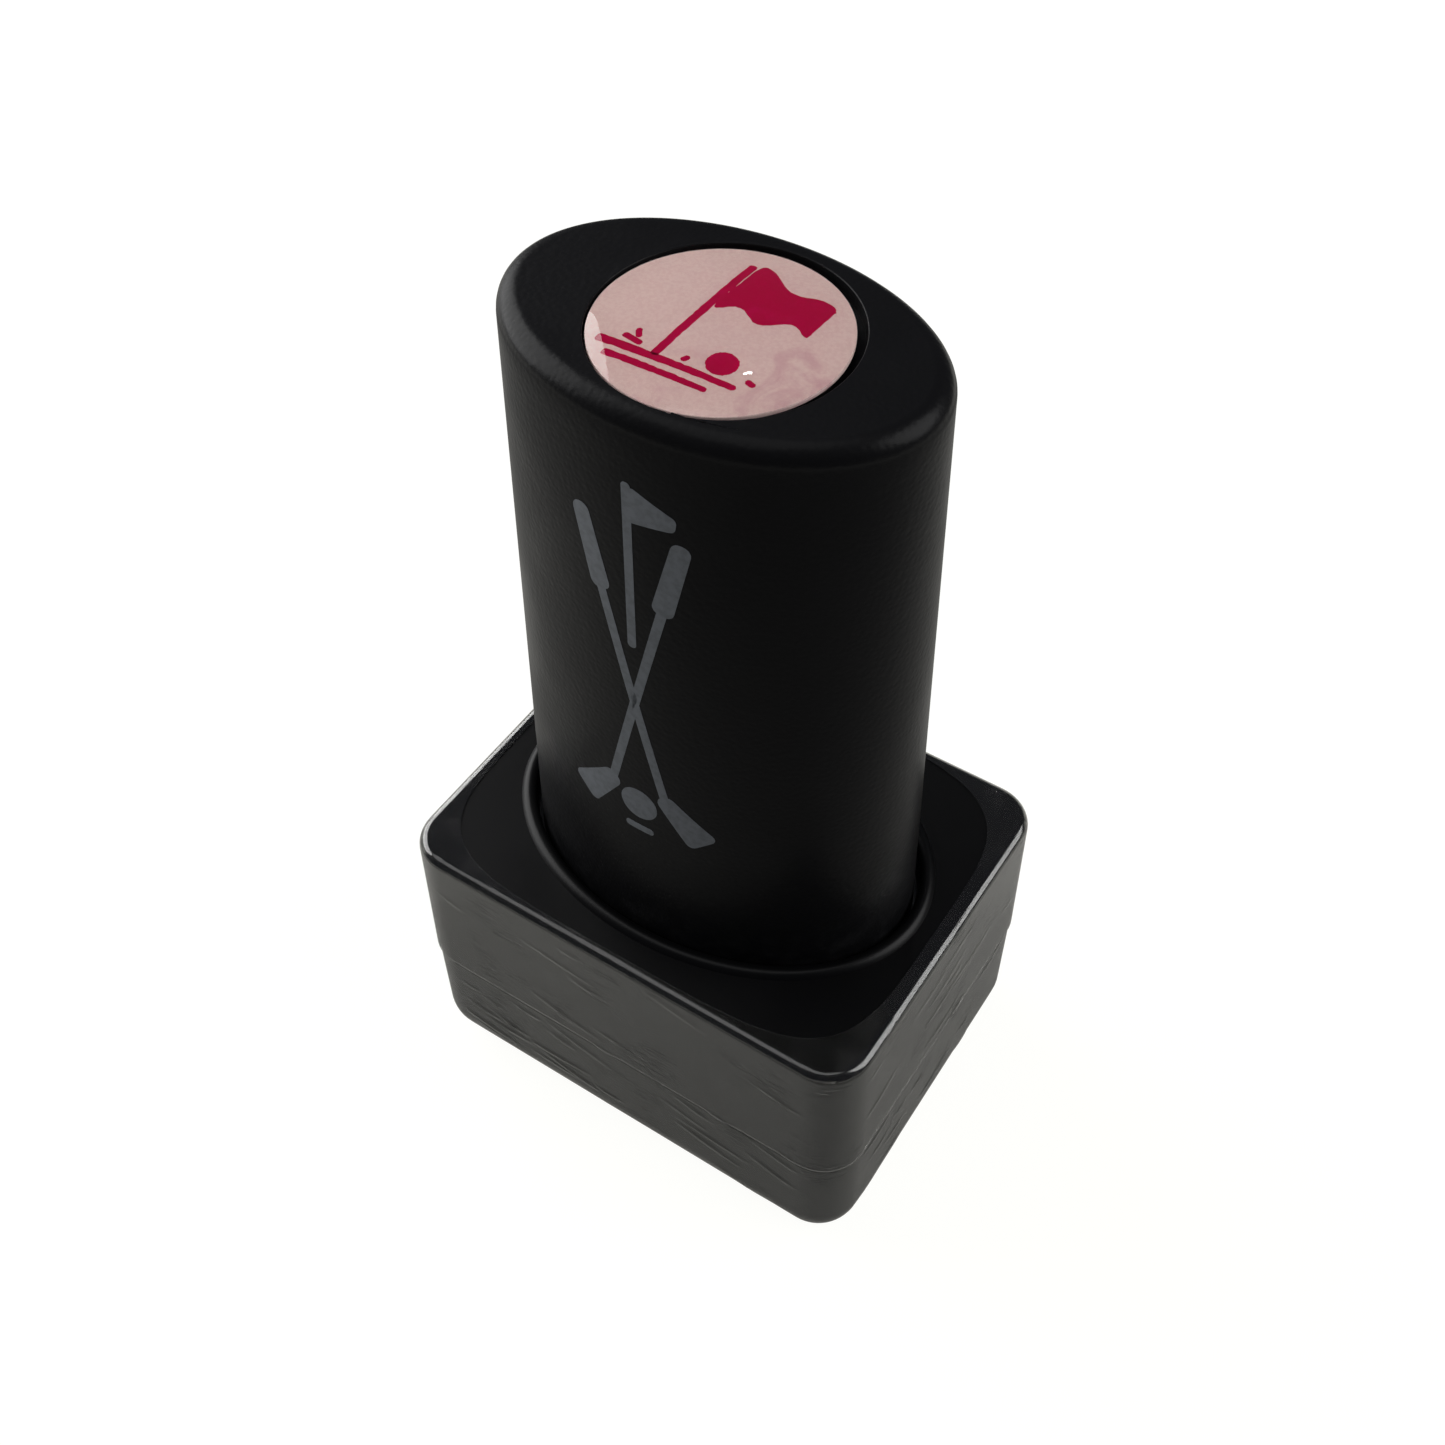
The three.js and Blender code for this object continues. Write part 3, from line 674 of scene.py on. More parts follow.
def draw_flag_print():
    """A waving pin flag, a ball and a green, about the origin."""
    flag = flat_shape("plane", (1.4, 2.6), (4.65, 3.5), -3, 0.62, 0.3)
    for axis in (0, 1):
        cut_into_strips(flag, axis, 0.25 * MM)
    ripple = bpy.data.textures.new("ripple", "WOOD")
    ripple.noise_basis_2 = "SIN"
    apply_modifier(flag, "DISPLACE", texture=ripple, direction="Y", strength=0.7 * MM,
                   texture_coords="OBJECT", texture_coords_object=RIPPLE_PLACE)
    shapes = [
        line((-1.35, -3.3), (-1.1, 4.55), 0.42),
        flag,
        flat_shape("disc", (1.55, -2.25), (1.5, 1.5)),
        line((-4.3, -3.45), (2.9, -3.3), 0.5, 0.7),
        line((-3.5, -4.15), (1.9, -4.05), 0.42, 0.8),
        line((-3.3, -2.75), (-2.2, -2.95), 0.34),
        line((-2.9, -2.1), (-2.55, -2.65), 0.3),
        line((0.1, -2.6), (-0.1, -3.0), 0.3),
        line((3.0, -2.6), (3.5, -2.75), 0.34),
    ]
    return join_shapes("label_print", shapes)


def ragged(obj, amount, seed):
    """Moves every point of a flat sheet a little, within its plane."""
    open_mesh(obj)
    bpy.ops.transform.vertex_random(offset=amount, seed=seed)
    bpy.ops.transform.resize(value=(1, 1, 0), center_override=(0, 0, 0))
    clear_selection()


def magenta_ink():
    """Magenta ink whose strength varies in soft washes."""
    material, tree, shader = new_material("magenta_ink", Roughness=0.45, Specular_IOR_Level=0.05)
    place = object_place(tree)
    wash = noise_value(tree, place, 650, 4, Distortion=0.8)
    fine = noise_value(tree, place, 5200, 2)
    share = math_node(tree, "ADD", spread(tree, wash, 0.5, 0.78, 0.0, 0.55), spread(tree, fine, 0.4, 0.8, 0.0, 0.2))
    inked = mix_colours(tree, share, (0.56, 0.0, 0.06), (0.66, 0.001, 0.095))
    feed(tree, shader, fine, 0.003 * MM, Base_Color=inked)
    return material


label_print = draw_flag_print()
bpy.data.objects.remove(RIPPLE_PLACE)
for axis in (0, 1):
    cut_into_strips(label_print, axis, 0.22 * MM)
ragged(label_print, RAGGEDNESS, 3)
settle(label_print, (*LABEL_CENTRE.xy, label_high.z + INK_LIFT))
apply_modifier(label_print, "SOLIDIFY", thickness=INK, offset=1.0)
finish_piece(label_print, "handle", "label_print", magenta_ink())

# %% [markdown]
# ## Clear dome
# A drop of clear resin covers the label. It flowed out to the disc's edge, where it stands up steeply, and it is
# almost flat across the middle. That section is pulled up from a ring, as the handle was. Its foot lies just inside
# the label, because an air gap under clear resin would mirror darkly at low angles.

# %% Dome
dome_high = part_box("label_dome")[1]
DOME_SKIRT = 0.03 * MM
DOME_FOOT = label_high.z - 0.01 * MM
DOME_SHARES = (1.0, 0.997, 0.99, 0.98, 0.965, 0.945, 0.92, 0.88, 0.83, 0.76, 0.66, 0.54, 0.4, 0.25, 0.1, 0.03)


def dome_stations():
    """Stations of the dome from its foot to near its top, steep at the rim and flat in the middle."""
    stations = [(LABEL_R, LABEL_R, DOME_FOOT)]
    rise = dome_high.z - DOME_FOOT - DOME_SKIRT
    for share in DOME_SHARES:
        height = DOME_FOOT + DOME_SKIRT + rise * (1 - share ** 3)
        stations.append((LABEL_R * share, LABEL_R * share, height))
    return stations


def model_dome():
    """The resin dome as a closed solid."""
    obj = start_circle("dome", ROUND_POINTS, LABEL_R, (*LABEL_CENTRE.xy, DOME_FOOT))
    pull_oval(dome_stations(), centre=LABEL_CENTRE.xy)
    bpy.ops.mesh.edge_face_add()
    pick(obj, "edges", rim_at(DOME_FOOT))
    bpy.ops.mesh.edge_face_add()
    close_and_face_out()
    return obj


def clear_resin():
    """Clear resin with a hardly visible waviness and a faint, uneven haze in its tint and gloss."""
    material, tree, shader = new_material("clear_resin", IOR=1.45, Transmission_Weight=1.0)
    place = object_place(tree)
    waves = noise_value(tree, place, 260, 2)
    haze = noise_value(tree, place, 900, 4)
    tint = mix_colours(tree, haze, (1, 1, 1), (0.98, 0.97, 0.97))
    feed(tree, shader, waves, 0.02 * MM, Base_Color=tint, Roughness=spread(tree, haze, 0.4, 0.8, 0.0, 0.05))
    return material


dome = model_dome()
smooth(dome, 50)
finish_piece(dome, "handle", "dome", clear_resin(), "label_dome")

# %% [markdown]
# ## Mark on the handle
# A grey mark is printed up one side of the handle. It is two golf clubs, a ball and a pennant, drawn flat like the
# label's print, stood upright in front of the wall, and pressed onto it with Shrinkwrap, which moves each point
# straight back until it meets the wall.

# %% Side mark
MARK_START = -13 * MM
MARK_OFFSET = 0.006 * MM


def club(side):
    """One golf club that leans across the mark: shaft, grip and head. Side is 1 or -1."""
    return [
        line((1.75 * side, 32.0), (-2.05 * side, 47.6), 0.55),
        line((-1.7 * side, 46.2), (-2.85 * side, 51.0), 1.2, 0.85),
        line((1.45 * side, 32.6), (3.9 * side, 29.8), 1.1, 1.9, 0.45),
    ]


def draw_club_mark():
    """Two crossed clubs, with a ball under the crossing and a small pennant above it."""
    shapes = club(1) + club(-1) + [
        flat_shape("disc", (0, 31.2), (2.3, 2.3)),
        line((-0.9, 29.2), (0.9, 29.2), 0.5),
        line((0, 43.2), (0, 53.6), 0.5),
        flat_shape("plane", (1.3, 52.2), (2.5, 2.2), -8, 0.35, 0.25),
    ]
    return join_shapes("side_mark", shapes)


def grey_ink():
    """Grey pad-printed ink, slightly uneven."""
    material, tree, shader = new_material("grey_ink", Roughness=0.5)
    place = object_place(tree)
    uneven = noise_value(tree, place, 2500, 4)
    inked = mix_colours(tree, spread(tree, uneven, 0.35, 0.7), (0.15, 0.165, 0.185), (0.115, 0.127, 0.143))
    feed(tree, shader, uneven, 0.004 * MM, Base_Color=inked)
    return material


side_mark = draw_club_mark()
cut_into_strips(side_mark, 0, 0.3 * MM)
cut_into_strips(side_mark, 1, 1.0 * MM)
settle(side_mark, (0, MARK_START, 0), (math.radians(90), 0, 0))
apply_modifier(side_mark, "SHRINKWRAP", target=handle, wrap_method="PROJECT", use_project_y=True,
               use_positive_direction=True, use_negative_direction=False, offset=MARK_OFFSET)
apply_modifier(side_mark, "SOLIDIFY", thickness=INK, offset=1.0)
finish_piece(side_mark, "handle", "label_print", grey_ink())

# %% [markdown]
# ## Base housing
# The base is an open-bottomed box with rounded upright edges, slightly wider at its open end, a finely rounded top
# edge, and a low round bead about the hole that the handle slides in. A cube is bevelled and its top is rounded over.
# The bead starts as an oval ring in the top, pulled up, over and down through the hole, and bridged to the outline.

# %% Housing
HOUSING_HALF = Vector((15.55, 11.85)) * MM
HOUSING_DRAFT = 0.16 * MM
HOUSING_EDGE_R = 0.5 * MM
HOUSING_CORNER_R = 2.7 * MM
HOUSING_WALL = 1.5 * MM
PLATE_UNDERSIDE = HOUSING_TOP - 1.75 * MM
HOLE_GAP = 0.28 * MM
CAVITY_CORNER_R = 1.6 * MM
COLLAR_WIDTH = 0.95 * MM
COLLAR_HEIGHT = housing_high.z - HOUSING_TOP
RIM_EDGE = 0.15 * MM
CORNER_STEPS = 12


def collar_stations():
    """Stations of the bead: up its gentle outer side, over its round top and down through the hole."""
    reach = HOLE_GAP + COLLAR_WIDTH
    stations = []
    for i in range(13):
        angle = math.pi * i / 12
        out = reach - COLLAR_WIDTH * (1 - math.cos(angle)) / 2
        rise = math.sin(angle) ** (2 if angle < math.pi / 2 else 1)
        stations.append((*(HANDLE_FOOT_HALF + Vector((out, out))), HOUSING_TOP + COLLAR_HEIGHT * rise))
    stations.append((*(HANDLE_FOOT_HALF + Vector((HOLE_GAP, HOLE_GAP))), PLATE_UNDERSIDE))
    return stations


def add_collar(obj):
    """Replaces the top face with the bead and its hole."""
    pick(obj, "faces", level_at(HOUSING_TOP))
    bpy.ops.mesh.delete(type="ONLY_FACE")
    bpy.context.tool_settings.mesh_select_mode = (False, True, False)
    bpy.ops.mesh.select_all(action="DESELECT")
    bpy.ops.mesh.primitive_circle_add(vertices=OVAL_POINTS, radius=1, fill_type="NOTHING",
                                      location=(0, 0, HOUSING_TOP))
    stations = collar_stations()
    bpy.ops.transform.resize(value=(stations[0][0], stations[0][1], 1), center_override=(0, 0, 0))
    pull_oval(stations)
    pick(obj, "edges", rim_at(HOUSING_TOP))
    bpy.ops.mesh.bridge_edge_loops()


def add_cavity(obj):
    """Hollows the housing: a smaller rounded box inside, with a flat ring out to the hole and to the bottom outline."""
    pick(obj, "faces", level_at(housing_low.z))
    bpy.ops.mesh.delete(type="ONLY_FACE")
    half = HOUSING_HALF - Vector((HOUSING_WALL, HOUSING_WALL))
    before = {v.index for v in bmesh.from_edit_mesh(obj.data).verts}
    middle = (housing_low.z + PLATE_UNDERSIDE) / 2
    bpy.ops.mesh.select_all(action="DESELECT")
    bpy.ops.mesh.primitive_cube_add(size=2, location=(0, 0, middle),
                                    scale=(half.x, half.y, PLATE_UNDERSIDE - middle))
    pick(obj, "edges", lambda e: upright(e) and all(v.index >= len(before) for v in e.verts))
    bpy.ops.mesh.bevel(offset=CAVITY_CORNER_R, segments=6, affect="EDGES", clamp_overlap=False)
    ends = (housing_low.z, PLATE_UNDERSIDE)
    pick(obj, "faces", lambda f: any(level_at(z)(f) for z in ends))
    bpy.ops.mesh.delete(type="ONLY_FACE")
    for height in ends:
        pick(obj, "edges", rim_at(height))
        bpy.ops.mesh.fill(use_beauty=True)


def model_housing():
    """The base housing as one closed solid."""
    foot = housing_low.z + RIM_EDGE
    obj = rounded_box("housing", HOUSING_HALF, foot, HOUSING_TOP - HOUSING_EDGE_R, HOUSING_CORNER_R, CORNER_STEPS)
    pick(obj, "faces", level_at(foot))
    growth = [1 + HOUSING_DRAFT / half for half in HOUSING_HALF]
    bpy.ops.transform.resize(value=(*growth, 1), center_override=(0, 0, 0))
    round_over(RIM_EDGE, 3)
    pick(obj, "faces", level_at(HOUSING_TOP - HOUSING_EDGE_R))
    round_over(HOUSING_EDGE_R, 6)
    add_collar(obj)
    add_cavity(obj)
    close_and_face_out()
    return obj


housing = model_housing()
smooth(housing, 30)
finish_piece(housing, "housing", "base_plastic", base_black, "base_housing")

# %% [markdown]
# ## Dust cap
# The cap is a shallow tray with a well-rounded underside and a fine edge at its rim. It is the same kind of box: its
# bottom face is rounded over, its top face is inset by the wall's thickness, and the middle is pushed down.

# %% Cap
cap_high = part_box("dust_cap")[1]
CAP_BOTTOM_R = 3.0 * MM
CAP_WALL = 1.27 * MM
CAP_FLOOR = 1.8 * MM
CAP_HALF = cap_high.xy


def round_cap_bottom():
    """Rounds the selected bottom face over. Past the corner radius the outline is scaled, as an inset would fold."""
    done_in, done_up = round_over(CAP_BOTTOM_R, 12, until=0.55)
    x, y = CAP_HALF.x - CAP_BOTTOM_R * done_in, CAP_HALF.y - CAP_BOTTOM_R * done_in
    stations = [(x, y, CAP_BOTTOM_R * (1 - done_up))]
    for share_in, share_up in quarter_turn(12):
        if share_in > done_in + 0.001:
            come_in = CAP_BOTTOM_R * share_in
            stations.append((CAP_HALF.x - come_in, CAP_HALF.y - come_in, CAP_BOTTOM_R * (1 - share_up)))
    pull_oval(stations)


def model_cap():
    """The dust cap as one closed solid."""
    obj = rounded_box("cap", CAP_HALF, CAP_BOTTOM_R, cap_high.z - RIM_EDGE, HOUSING_CORNER_R, CORNER_STEPS)
    pick(obj, "faces", level_at(CAP_BOTTOM_R))
    round_cap_bottom()
    pick(obj, "faces", level_at(cap_high.z - RIM_EDGE))
    round_over(RIM_EDGE, 4)
    bpy.ops.mesh.inset(thickness=CAP_WALL - RIM_EDGE)
    raise_by(CAP_FLOOR - cap_high.z)
    close_and_face_out()
    return obj


cap = model_cap()
smooth(cap, 30)
finish_piece(cap, "cap", "base_plastic", base_black, "dust_cap")

# %% [markdown]
# ## Shrink band
# Clear film was heated until it drew tight round the base and the cap. It is flat against the walls, folds over the
# top edge to a soft-cornered opening, stands off a little at the corners, and has fine creases that run round the
# block where the film ran short. The sheet is not simulated: it is a dense grid that is pulled up in rows, and each
# point is then pushed out by gentle waves and narrow ridges, which puts every crease where it is wanted.

# %% Film sheet tools
film_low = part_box("shrink_film_upper")[0]
lower_film_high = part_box("shrink_film_lower")[1]
FILM = 0.035 * MM
FILM_STANDOFF = 0.06 * MM
FILM_ROOM = 0.12 * MM
FILM_ROW = 0.092 * MM
FILM_ARC_STEPS = 14
FILM_CUTS = (78, 58)


def film_outline(height, top=True):
    """Half sizes and corner radius of the sheet where it lies on the housing, or on the cap."""
    if top:
        share = (HOUSING_TOP - HOUSING_EDGE_R - height) / (HOUSING_TOP - HOUSING_EDGE_R - housing_low.z)
        out = HOUSING_DRAFT * max(0.0, share) + FILM_STANDOFF
        return (HOUSING_HALF.x + out, HOUSING_HALF.y + out, HOUSING_CORNER_R + FILM_STANDOFF)
    return (CAP_HALF.x + FILM_STANDOFF, CAP_HALF.y + FILM_STANDOFF, HOUSING_CORNER_R + FILM_STANDOFF)


def film_ring(name, height, outline):
    """One ring of edges on the outline at a height, densely cut, open and selected in edit mode."""
    half_x, half_y, corner = outline
    obj = rounded_box(name, (half_x, half_y), height, height + MM, corner, FILM_ARC_STEPS)
    pick(obj, "faces", lambda f: level_at(height)(f) or level_at(height + MM)(f))
    bpy.ops.mesh.delete(type="ONLY_FACE")
    for axis, half, cuts in ((0, half_x, FILM_CUTS[0]), (1, half_y, FILM_CUTS[1])):
        straight = 2 * (half - corner)
        pick(obj, "edges", lambda e: abs(abs(e.verts[0].co[axis] - e.verts[1].co[axis]) - straight) < 0.01 * MM)
        bpy.ops.mesh.subdivide(number_cuts=cuts)
    pick(obj, "verts", lambda v: v.co.z > height + 0.5 * MM)
    bpy.ops.mesh.delete(type="VERT")
    pick(obj, "edges", lambda e: True)
    return obj


def to_outline(point, old, new):
    """A point of one rounded rectangle moved to another. An outline is (half x, half y, corner radius)."""
    moved = []
    for axis in (0, 1):
        reach = old[axis] - old[2]
        core = max(-reach, min(reach, point[axis]))
        moved.append(core * (new[axis] - new[2]) / reach + (point[axis] - core) / old[2] * new[2])
    return Vector(moved)


def pull_film_row(obj, rise, move):
    """Extrudes the selected ring upwards, then moves each of its points in plan."""
    raise_by(rise)
    mesh = bmesh.from_edit_mesh(obj.data)
    for vert in mesh.verts:
        if vert.select:
            vert.co.xy = move(vert.co.xy)
    bmesh.update_edit_mesh(obj.data)


def pull_outlines(obj, stations):
    """Pulls the ring through stations of (outline, height)."""
    for (old, z0), (new, z1) in zip(stations, stations[1:]):
        pull_film_row(obj, z1 - z0, lambda p: to_outline(p, old, new))


# %% Film rows
OPENING_HALF = Vector((14.6, 11.25)) * MM
OPENING_POWER = 4.5
OPENING_SHIFT = Vector((-0.15, 0.08)) * MM
TOP_ROWS = 9


def even_heights(start, end, row):
    """Heights from start to end at about even rows."""
    rows = max(1, round(abs(end - start) / row))
    return [start + (end - start) * i / rows for i in range(rows + 1)]


def film_over_edge(wall_top):
    """Stations of the film as it folds over the housing's top edge."""
    half_x, half_y, corner = film_outline(wall_top)
    radius = HOUSING_EDGE_R + FILM_STANDOFF
    stations = []
    for share_in, share_up in quarter_turn(7):
        come_in = radius * share_in
        stations.append(((half_x - come_in, half_y - come_in, corner - come_in), wall_top + radius * share_up))
    return stations


def to_opening(point):
    """The point of the opening's outline that lies in the same direction."""
    shares = [abs((point[i] - OPENING_SHIFT[i]) / OPENING_HALF[i]) ** OPENING_POWER for i in (0, 1)]
    return OPENING_SHIFT + (point - OPENING_SHIFT) / sum(shares) ** (1 / OPENING_POWER)


def model_upper_sheet():
    """The upper film as a bare sheet, before it is creased."""
    wall_top = HOUSING_TOP - HOUSING_EDGE_R
    heights = even_heights(film_low.z, wall_top, FILM_ROW)
    obj = film_ring("film_upper", heights[0], film_outline(heights[0]))
    pull_outlines(obj, [(film_outline(z), z) for z in heights] + film_over_edge(wall_top)[1:])
    for row in range(TOP_ROWS):
        share = 1 / (TOP_ROWS - row)
        pull_film_row(obj, 0, lambda p: p.lerp(to_opening(p), share))
    clear_selection()
    return obj


def model_lower_sheet():
    """The lower film as a bare sheet, from the cap's round underside up to its rim."""
    half_x, half_y, corner = film_outline(0, top=False)
    radius = CAP_BOTTOM_R + FILM_STANDOFF
    stations = []
    for angle in even_heights(math.radians(56.5), 0, math.radians(3.0)):
        come_in = radius * (1 - math.cos(angle))
        outline = (half_x - come_in, half_y - come_in, corner - 0.85 * come_in)
        stations.append((outline, CAP_BOTTOM_R - radius * math.sin(angle)))
    for z in even_heights(CAP_BOTTOM_R, lower_film_high.z, FILM_ROW)[1:]:
        stations.append(((half_x, half_y, corner), z))
    obj = film_ring("film_lower", stations[0][1], stations[0][0])
    pull_outlines(obj, stations)
    clear_selection()
    return obj


film_upper = model_upper_sheet()
film_lower = model_lower_sheet()
print("sheet points:", len(film_upper.data.vertices), len(film_lower.data.vertices))

# %% [markdown]
# ## Creases
# A crease is a narrow ridge, a few millimetres long, nearly level, and pinched to nothing at both ends. It is given
# by its middle on the wall, its length, its tilt and its width. Broad waves lie under them all, stronger near the
# bottom, and the film is drawn in where the base meets the cap. All random draws come from one seeded source.

# %% Crease the film
CREASES = (42, 36, 20, 20)
CREASE_TILT = (-10, 3, 0, 0)
CREASE_WIDTH = (0.13, 0.21)
CREASE_LENGTH = (1.5, 6.0)
CREASE_REACH = (15.0, 11.3)
CREASE_HEIGHTS = (0.8, 19.0)
CREASE_TILT_SPREAD = 6
CREASE_LIFT = 0.95
WAVE_LIFT = 0.35
WAVE_SCALE = Vector((80, 80, 330))
WAVE_SLANT = 50
WAVE_TOP = 14 * MM
CORNER_FADE_START = 0.9 * MM
CORNER_FADE = 1.6 * MM
BOTTOM_FADE_START = 3.2 * MM
BOTTOM_FADE = 1.8 * MM
PARTING = (housing_low.z + cap_high.z) / 2
PARTING_REACH = 0.2 * MM
PARTING_DIP = 0.13 * MM


def along_wall(point):
    """How far round the block a wall point is, and which of the four sides it is on."""
    if abs(point.x) / HOUSING_HALF.x > abs(point.y) / HOUSING_HALF.y:
        return point.y, (1 if point.x > 0 else 3)
    return point.x, (2 if point.y > 0 else 0)


def draw_creases():
    """Random creases as (side, place along, height, half length, tilt, width, strength)."""
    drawn = []
    for side in [side for side, count in enumerate(CREASES) for _ in range(count)]:
        reach = CREASE_REACH[side % 2] * MM
        drawn.append((
            side,
            random.uniform(-reach, reach),
            random.uniform(*CREASE_HEIGHTS) * MM,
            random.uniform(*CREASE_LENGTH) * MM / 2,
            math.radians(random.gauss(CREASE_TILT[side], CREASE_TILT_SPREAD)),
            random.uniform(*CREASE_WIDTH) * MM,
            random.uniform(0.6, 1.0),
        ))
    return drawn


def crease_height(point, creases):
    """How far the creases lift the film at a wall point, from 0 to 1."""
    along, side = along_wall(point)
    lift = 0.0
    for c_side, c_along, c_z, half, tilt, width, strength in creases:
        if c_side != side or abs(along - c_along) > half * 1.2 or abs(point.z - c_z) > MM:
            continue
        run = (along - c_along) * math.cos(tilt) + (point.z - c_z) * math.sin(tilt)
        across = (point.z - c_z) * math.cos(tilt) - (along - c_along) * math.sin(tilt)
        end_fade = 1 - min(1.0, abs(run) / half) ** 2
        lift = max(lift, strength * end_fade * math.exp(-(across / width) ** 2))
    return lift


def wave_height(point):
    """Broad, level waves of the film, from 0 to 1, stronger low on the block."""
    stretched = point * WAVE_SCALE
    stretched.z += (point.x + point.y) * WAVE_SLANT
    broad = noise.noise(stretched) * 0.5 + 0.5
    tight = noise.noise(stretched * 1.8 + Vector((5, 1, 3))) * 0.5 + 0.5
    low_down = 1.0 - 0.6 * min(1.0, point.z / WAVE_TOP)
    return (0.55 * broad + 0.45 * tight) * low_down


def flat_share(point):
    """How much of a wall's relief is left at a point: all of it on the flats, none round the corners."""
    past = [abs(point[i]) - (HOUSING_HALF[i] - HOUSING_CORNER_R - CORNER_FADE_START) for i in (0, 1)]
    round_corner = max(0.0, min(past)) / CORNER_FADE
    round_bottom = max(0.0, BOTTOM_FADE_START - point.z) / BOTTOM_FADE
    return max(0.0, 1 - round_corner) * max(0.0, 1 - round_bottom)


def parting_dip(point):
    """How far the film is drawn in where the base and the cap meet, from 0 to 1."""
    return max(0.0, 1 - abs(point.z - PARTING) / PARTING_REACH)


def corner_lift(point):
    """How far the top film stands off at the block's corners, from 0 to 1."""
    near = min(abs(point.x) / HOUSING_HALF.x, abs(point.y) / HOUSING_HALF.y)
    return max(0.0, min(1.0, (near - 0.78) / 0.16))


def crease_film(obj, creases):
    """Pushes each point of the sheet out along its normal by waves and creases, within the film's room."""
    obj.data.update()
    normals = [v.normal.copy() for v in obj.data.vertices]
    for vert, normal in zip(obj.data.vertices, normals):
        outward = normal if normal.dot(Vector((vert.co.x, vert.co.y, 4 * MM))) > 0 else -normal
        lift = WAVE_LIFT * wave_height(vert.co) + CREASE_LIFT * crease_height(vert.co, creases)
        lift = FILM_ROOM * min(1.0, lift * flat_share(vert.co)) - PARTING_DIP * parting_dip(vert.co)
        if vert.co.z > HOUSING_TOP:
            lift = FILM_ROOM * min(1.0, 0.15 * wave_height(vert.co * 1.5) + 0.8 * corner_lift(vert.co))
        vert.co += outward * lift


creases = draw_creases()
for sheet in (film_upper, film_lower):
    crease_film(sheet, creases)
    open_mesh(sheet)
    bpy.ops.mesh.normals_make_consistent(inside=False)
    clear_selection()
    apply_modifier(sheet, "SOLIDIFY", thickness=FILM, offset=0.0)
    smooth(sheet, 60, weighted=False)

# %% Film material
def make_crease_group():
    """Very fine creases that run round the block: noise drawn out sideways and folded into thin ridges."""
    group, given, result = new_group("film_creases", {"Fineness": 1.0}, ["Height", "Haze"])
    place = object_place(group)
    flat = add_node(group, "Mapping", {"Vector": place, "Scale": (200, 200, 1900)}).outputs[0]
    thin = noise_value(group, flat, given.outputs["Fineness"], 2, Distortion=0.4)
    fold = math_node(group, "ABSOLUTE", math_node(group, "SUBTRACT", thin, 0.5))
    ridge = spread(group, fold, 0.0, 0.09, 1.0, 0.0)
    where = noise_value(group, place, 260, 2)
    placed = math_node(group, "MULTIPLY", ridge, spread(group, where, 0.52, 0.66))
    group.links.new(placed, result.inputs["Height"])
    cloudy = noise_value(group, place, 350, 5)
    group.links.new(spread(group, cloudy, 0.35, 0.7), result.inputs["Haze"])
    return group


crease_group = make_crease_group()
FILM_CLEARNESS = 0.995


def clear_film():
    """Clear film, slightly hazy where it was stretched, with a few specks of dust."""
    material, tree, shader = new_material("clear_film", IOR=1.62, Transmission_Weight=FILM_CLEARNESS)
    fine = use_group(tree, crease_group, Fineness=1.0)
    specks = use_group(tree, dust_group, Amount=0.02)
    tint = mix_colours(tree, specks.outputs["Mask"], (0.8, 0.8, 0.78), (0.5, 0.5, 0.48))
    gloss = spread(tree, fine.outputs["Haze"], 0, 1, 0.05, 0.12)
    feed(tree, shader, fine.outputs["Height"], 0.012 * MM, Base_Color=tint, Roughness=gloss)
    return material


film_material = clear_film()
finish_piece(film_upper, "housing", "film", film_material, "shrink_film_upper")
finish_piece(film_lower, "cap", "film", film_material, "shrink_film_lower")

# %% [markdown]
# ## Return springs
# Two small springs push the handle back up.

# %% Springs
SPRING_WIRE_R = 0.2 * MM
SPRING_MEAN_R = 1.5 * MM
SPRING_TURNS = 6


def model_spring(side):
    """One spring, with its place in its mesh."""
    node = "return_spring_" + side
    low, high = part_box(node)
    middle = (low + high) / 2
    clear_selection()
    bpy.ops.mesh.primitive_circle_add(vertices=12, radius=SPRING_WIRE_R, fill_type="NOTHING",
                                      rotation=(math.radians(90), 0, 0), location=(SPRING_MEAN_R, 0, 0))
    obj = start_object("spring_" + side)
    clear_selection()
    rise = high.z - low.z - 2 * SPRING_WIRE_R
    apply_modifier(obj, "SCREW", angle=math.radians(360 * SPRING_TURNS), screw_offset=rise,
                   steps=24 * SPRING_TURNS, render_steps=24 * SPRING_TURNS, iterations=1)
    open_mesh(obj)
    bpy.ops.mesh.fill_holes(sides=12)
    close_and_face_out()
    settle(obj, (*middle.xy, low.z + SPRING_WIRE_R))
    smooth(obj, 50, weighted=False)
    finish_piece(obj, "housing", "spring_steel", spring_steel, node)
    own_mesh(obj)


for side in ("left", "right"):
    model_spring(side)

# %% [markdown]
# ## Finishes on the measured parts
# The inner parts keep their measured shapes. They are seen only when the cap is off, so a good finish is enough.

# %% Materials on the measured parts
CAD_FINISHES = {
    "foot_frame": inner_grey,
    "ball_cradle": ring_rubber,
    "cap_liner": liner_foam,
    "plunger_core": inner_grey,
    "die_holder": inner_grey,
    "die_frame": inner_grey,
    "ink_pad": ink_felt,
    "stamp_die": die_foam,
}
CAD_FINISHES.update({"frame_screw_%d" % i: screw_steel for i in range(1, 5)})
CAD_FINISHES.update({"core_screw_%d" % i: screw_steel for i in range(1, 3)})
for node, material in CAD_FINISHES.items():
    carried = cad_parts[node]
    carried = bpy.data.objects[carried] if isinstance(carried, str) else carried
    for slot in carried.material_slots:
        slot.material = material
print("measured parts given a finish:", len(CAD_FINISHES))
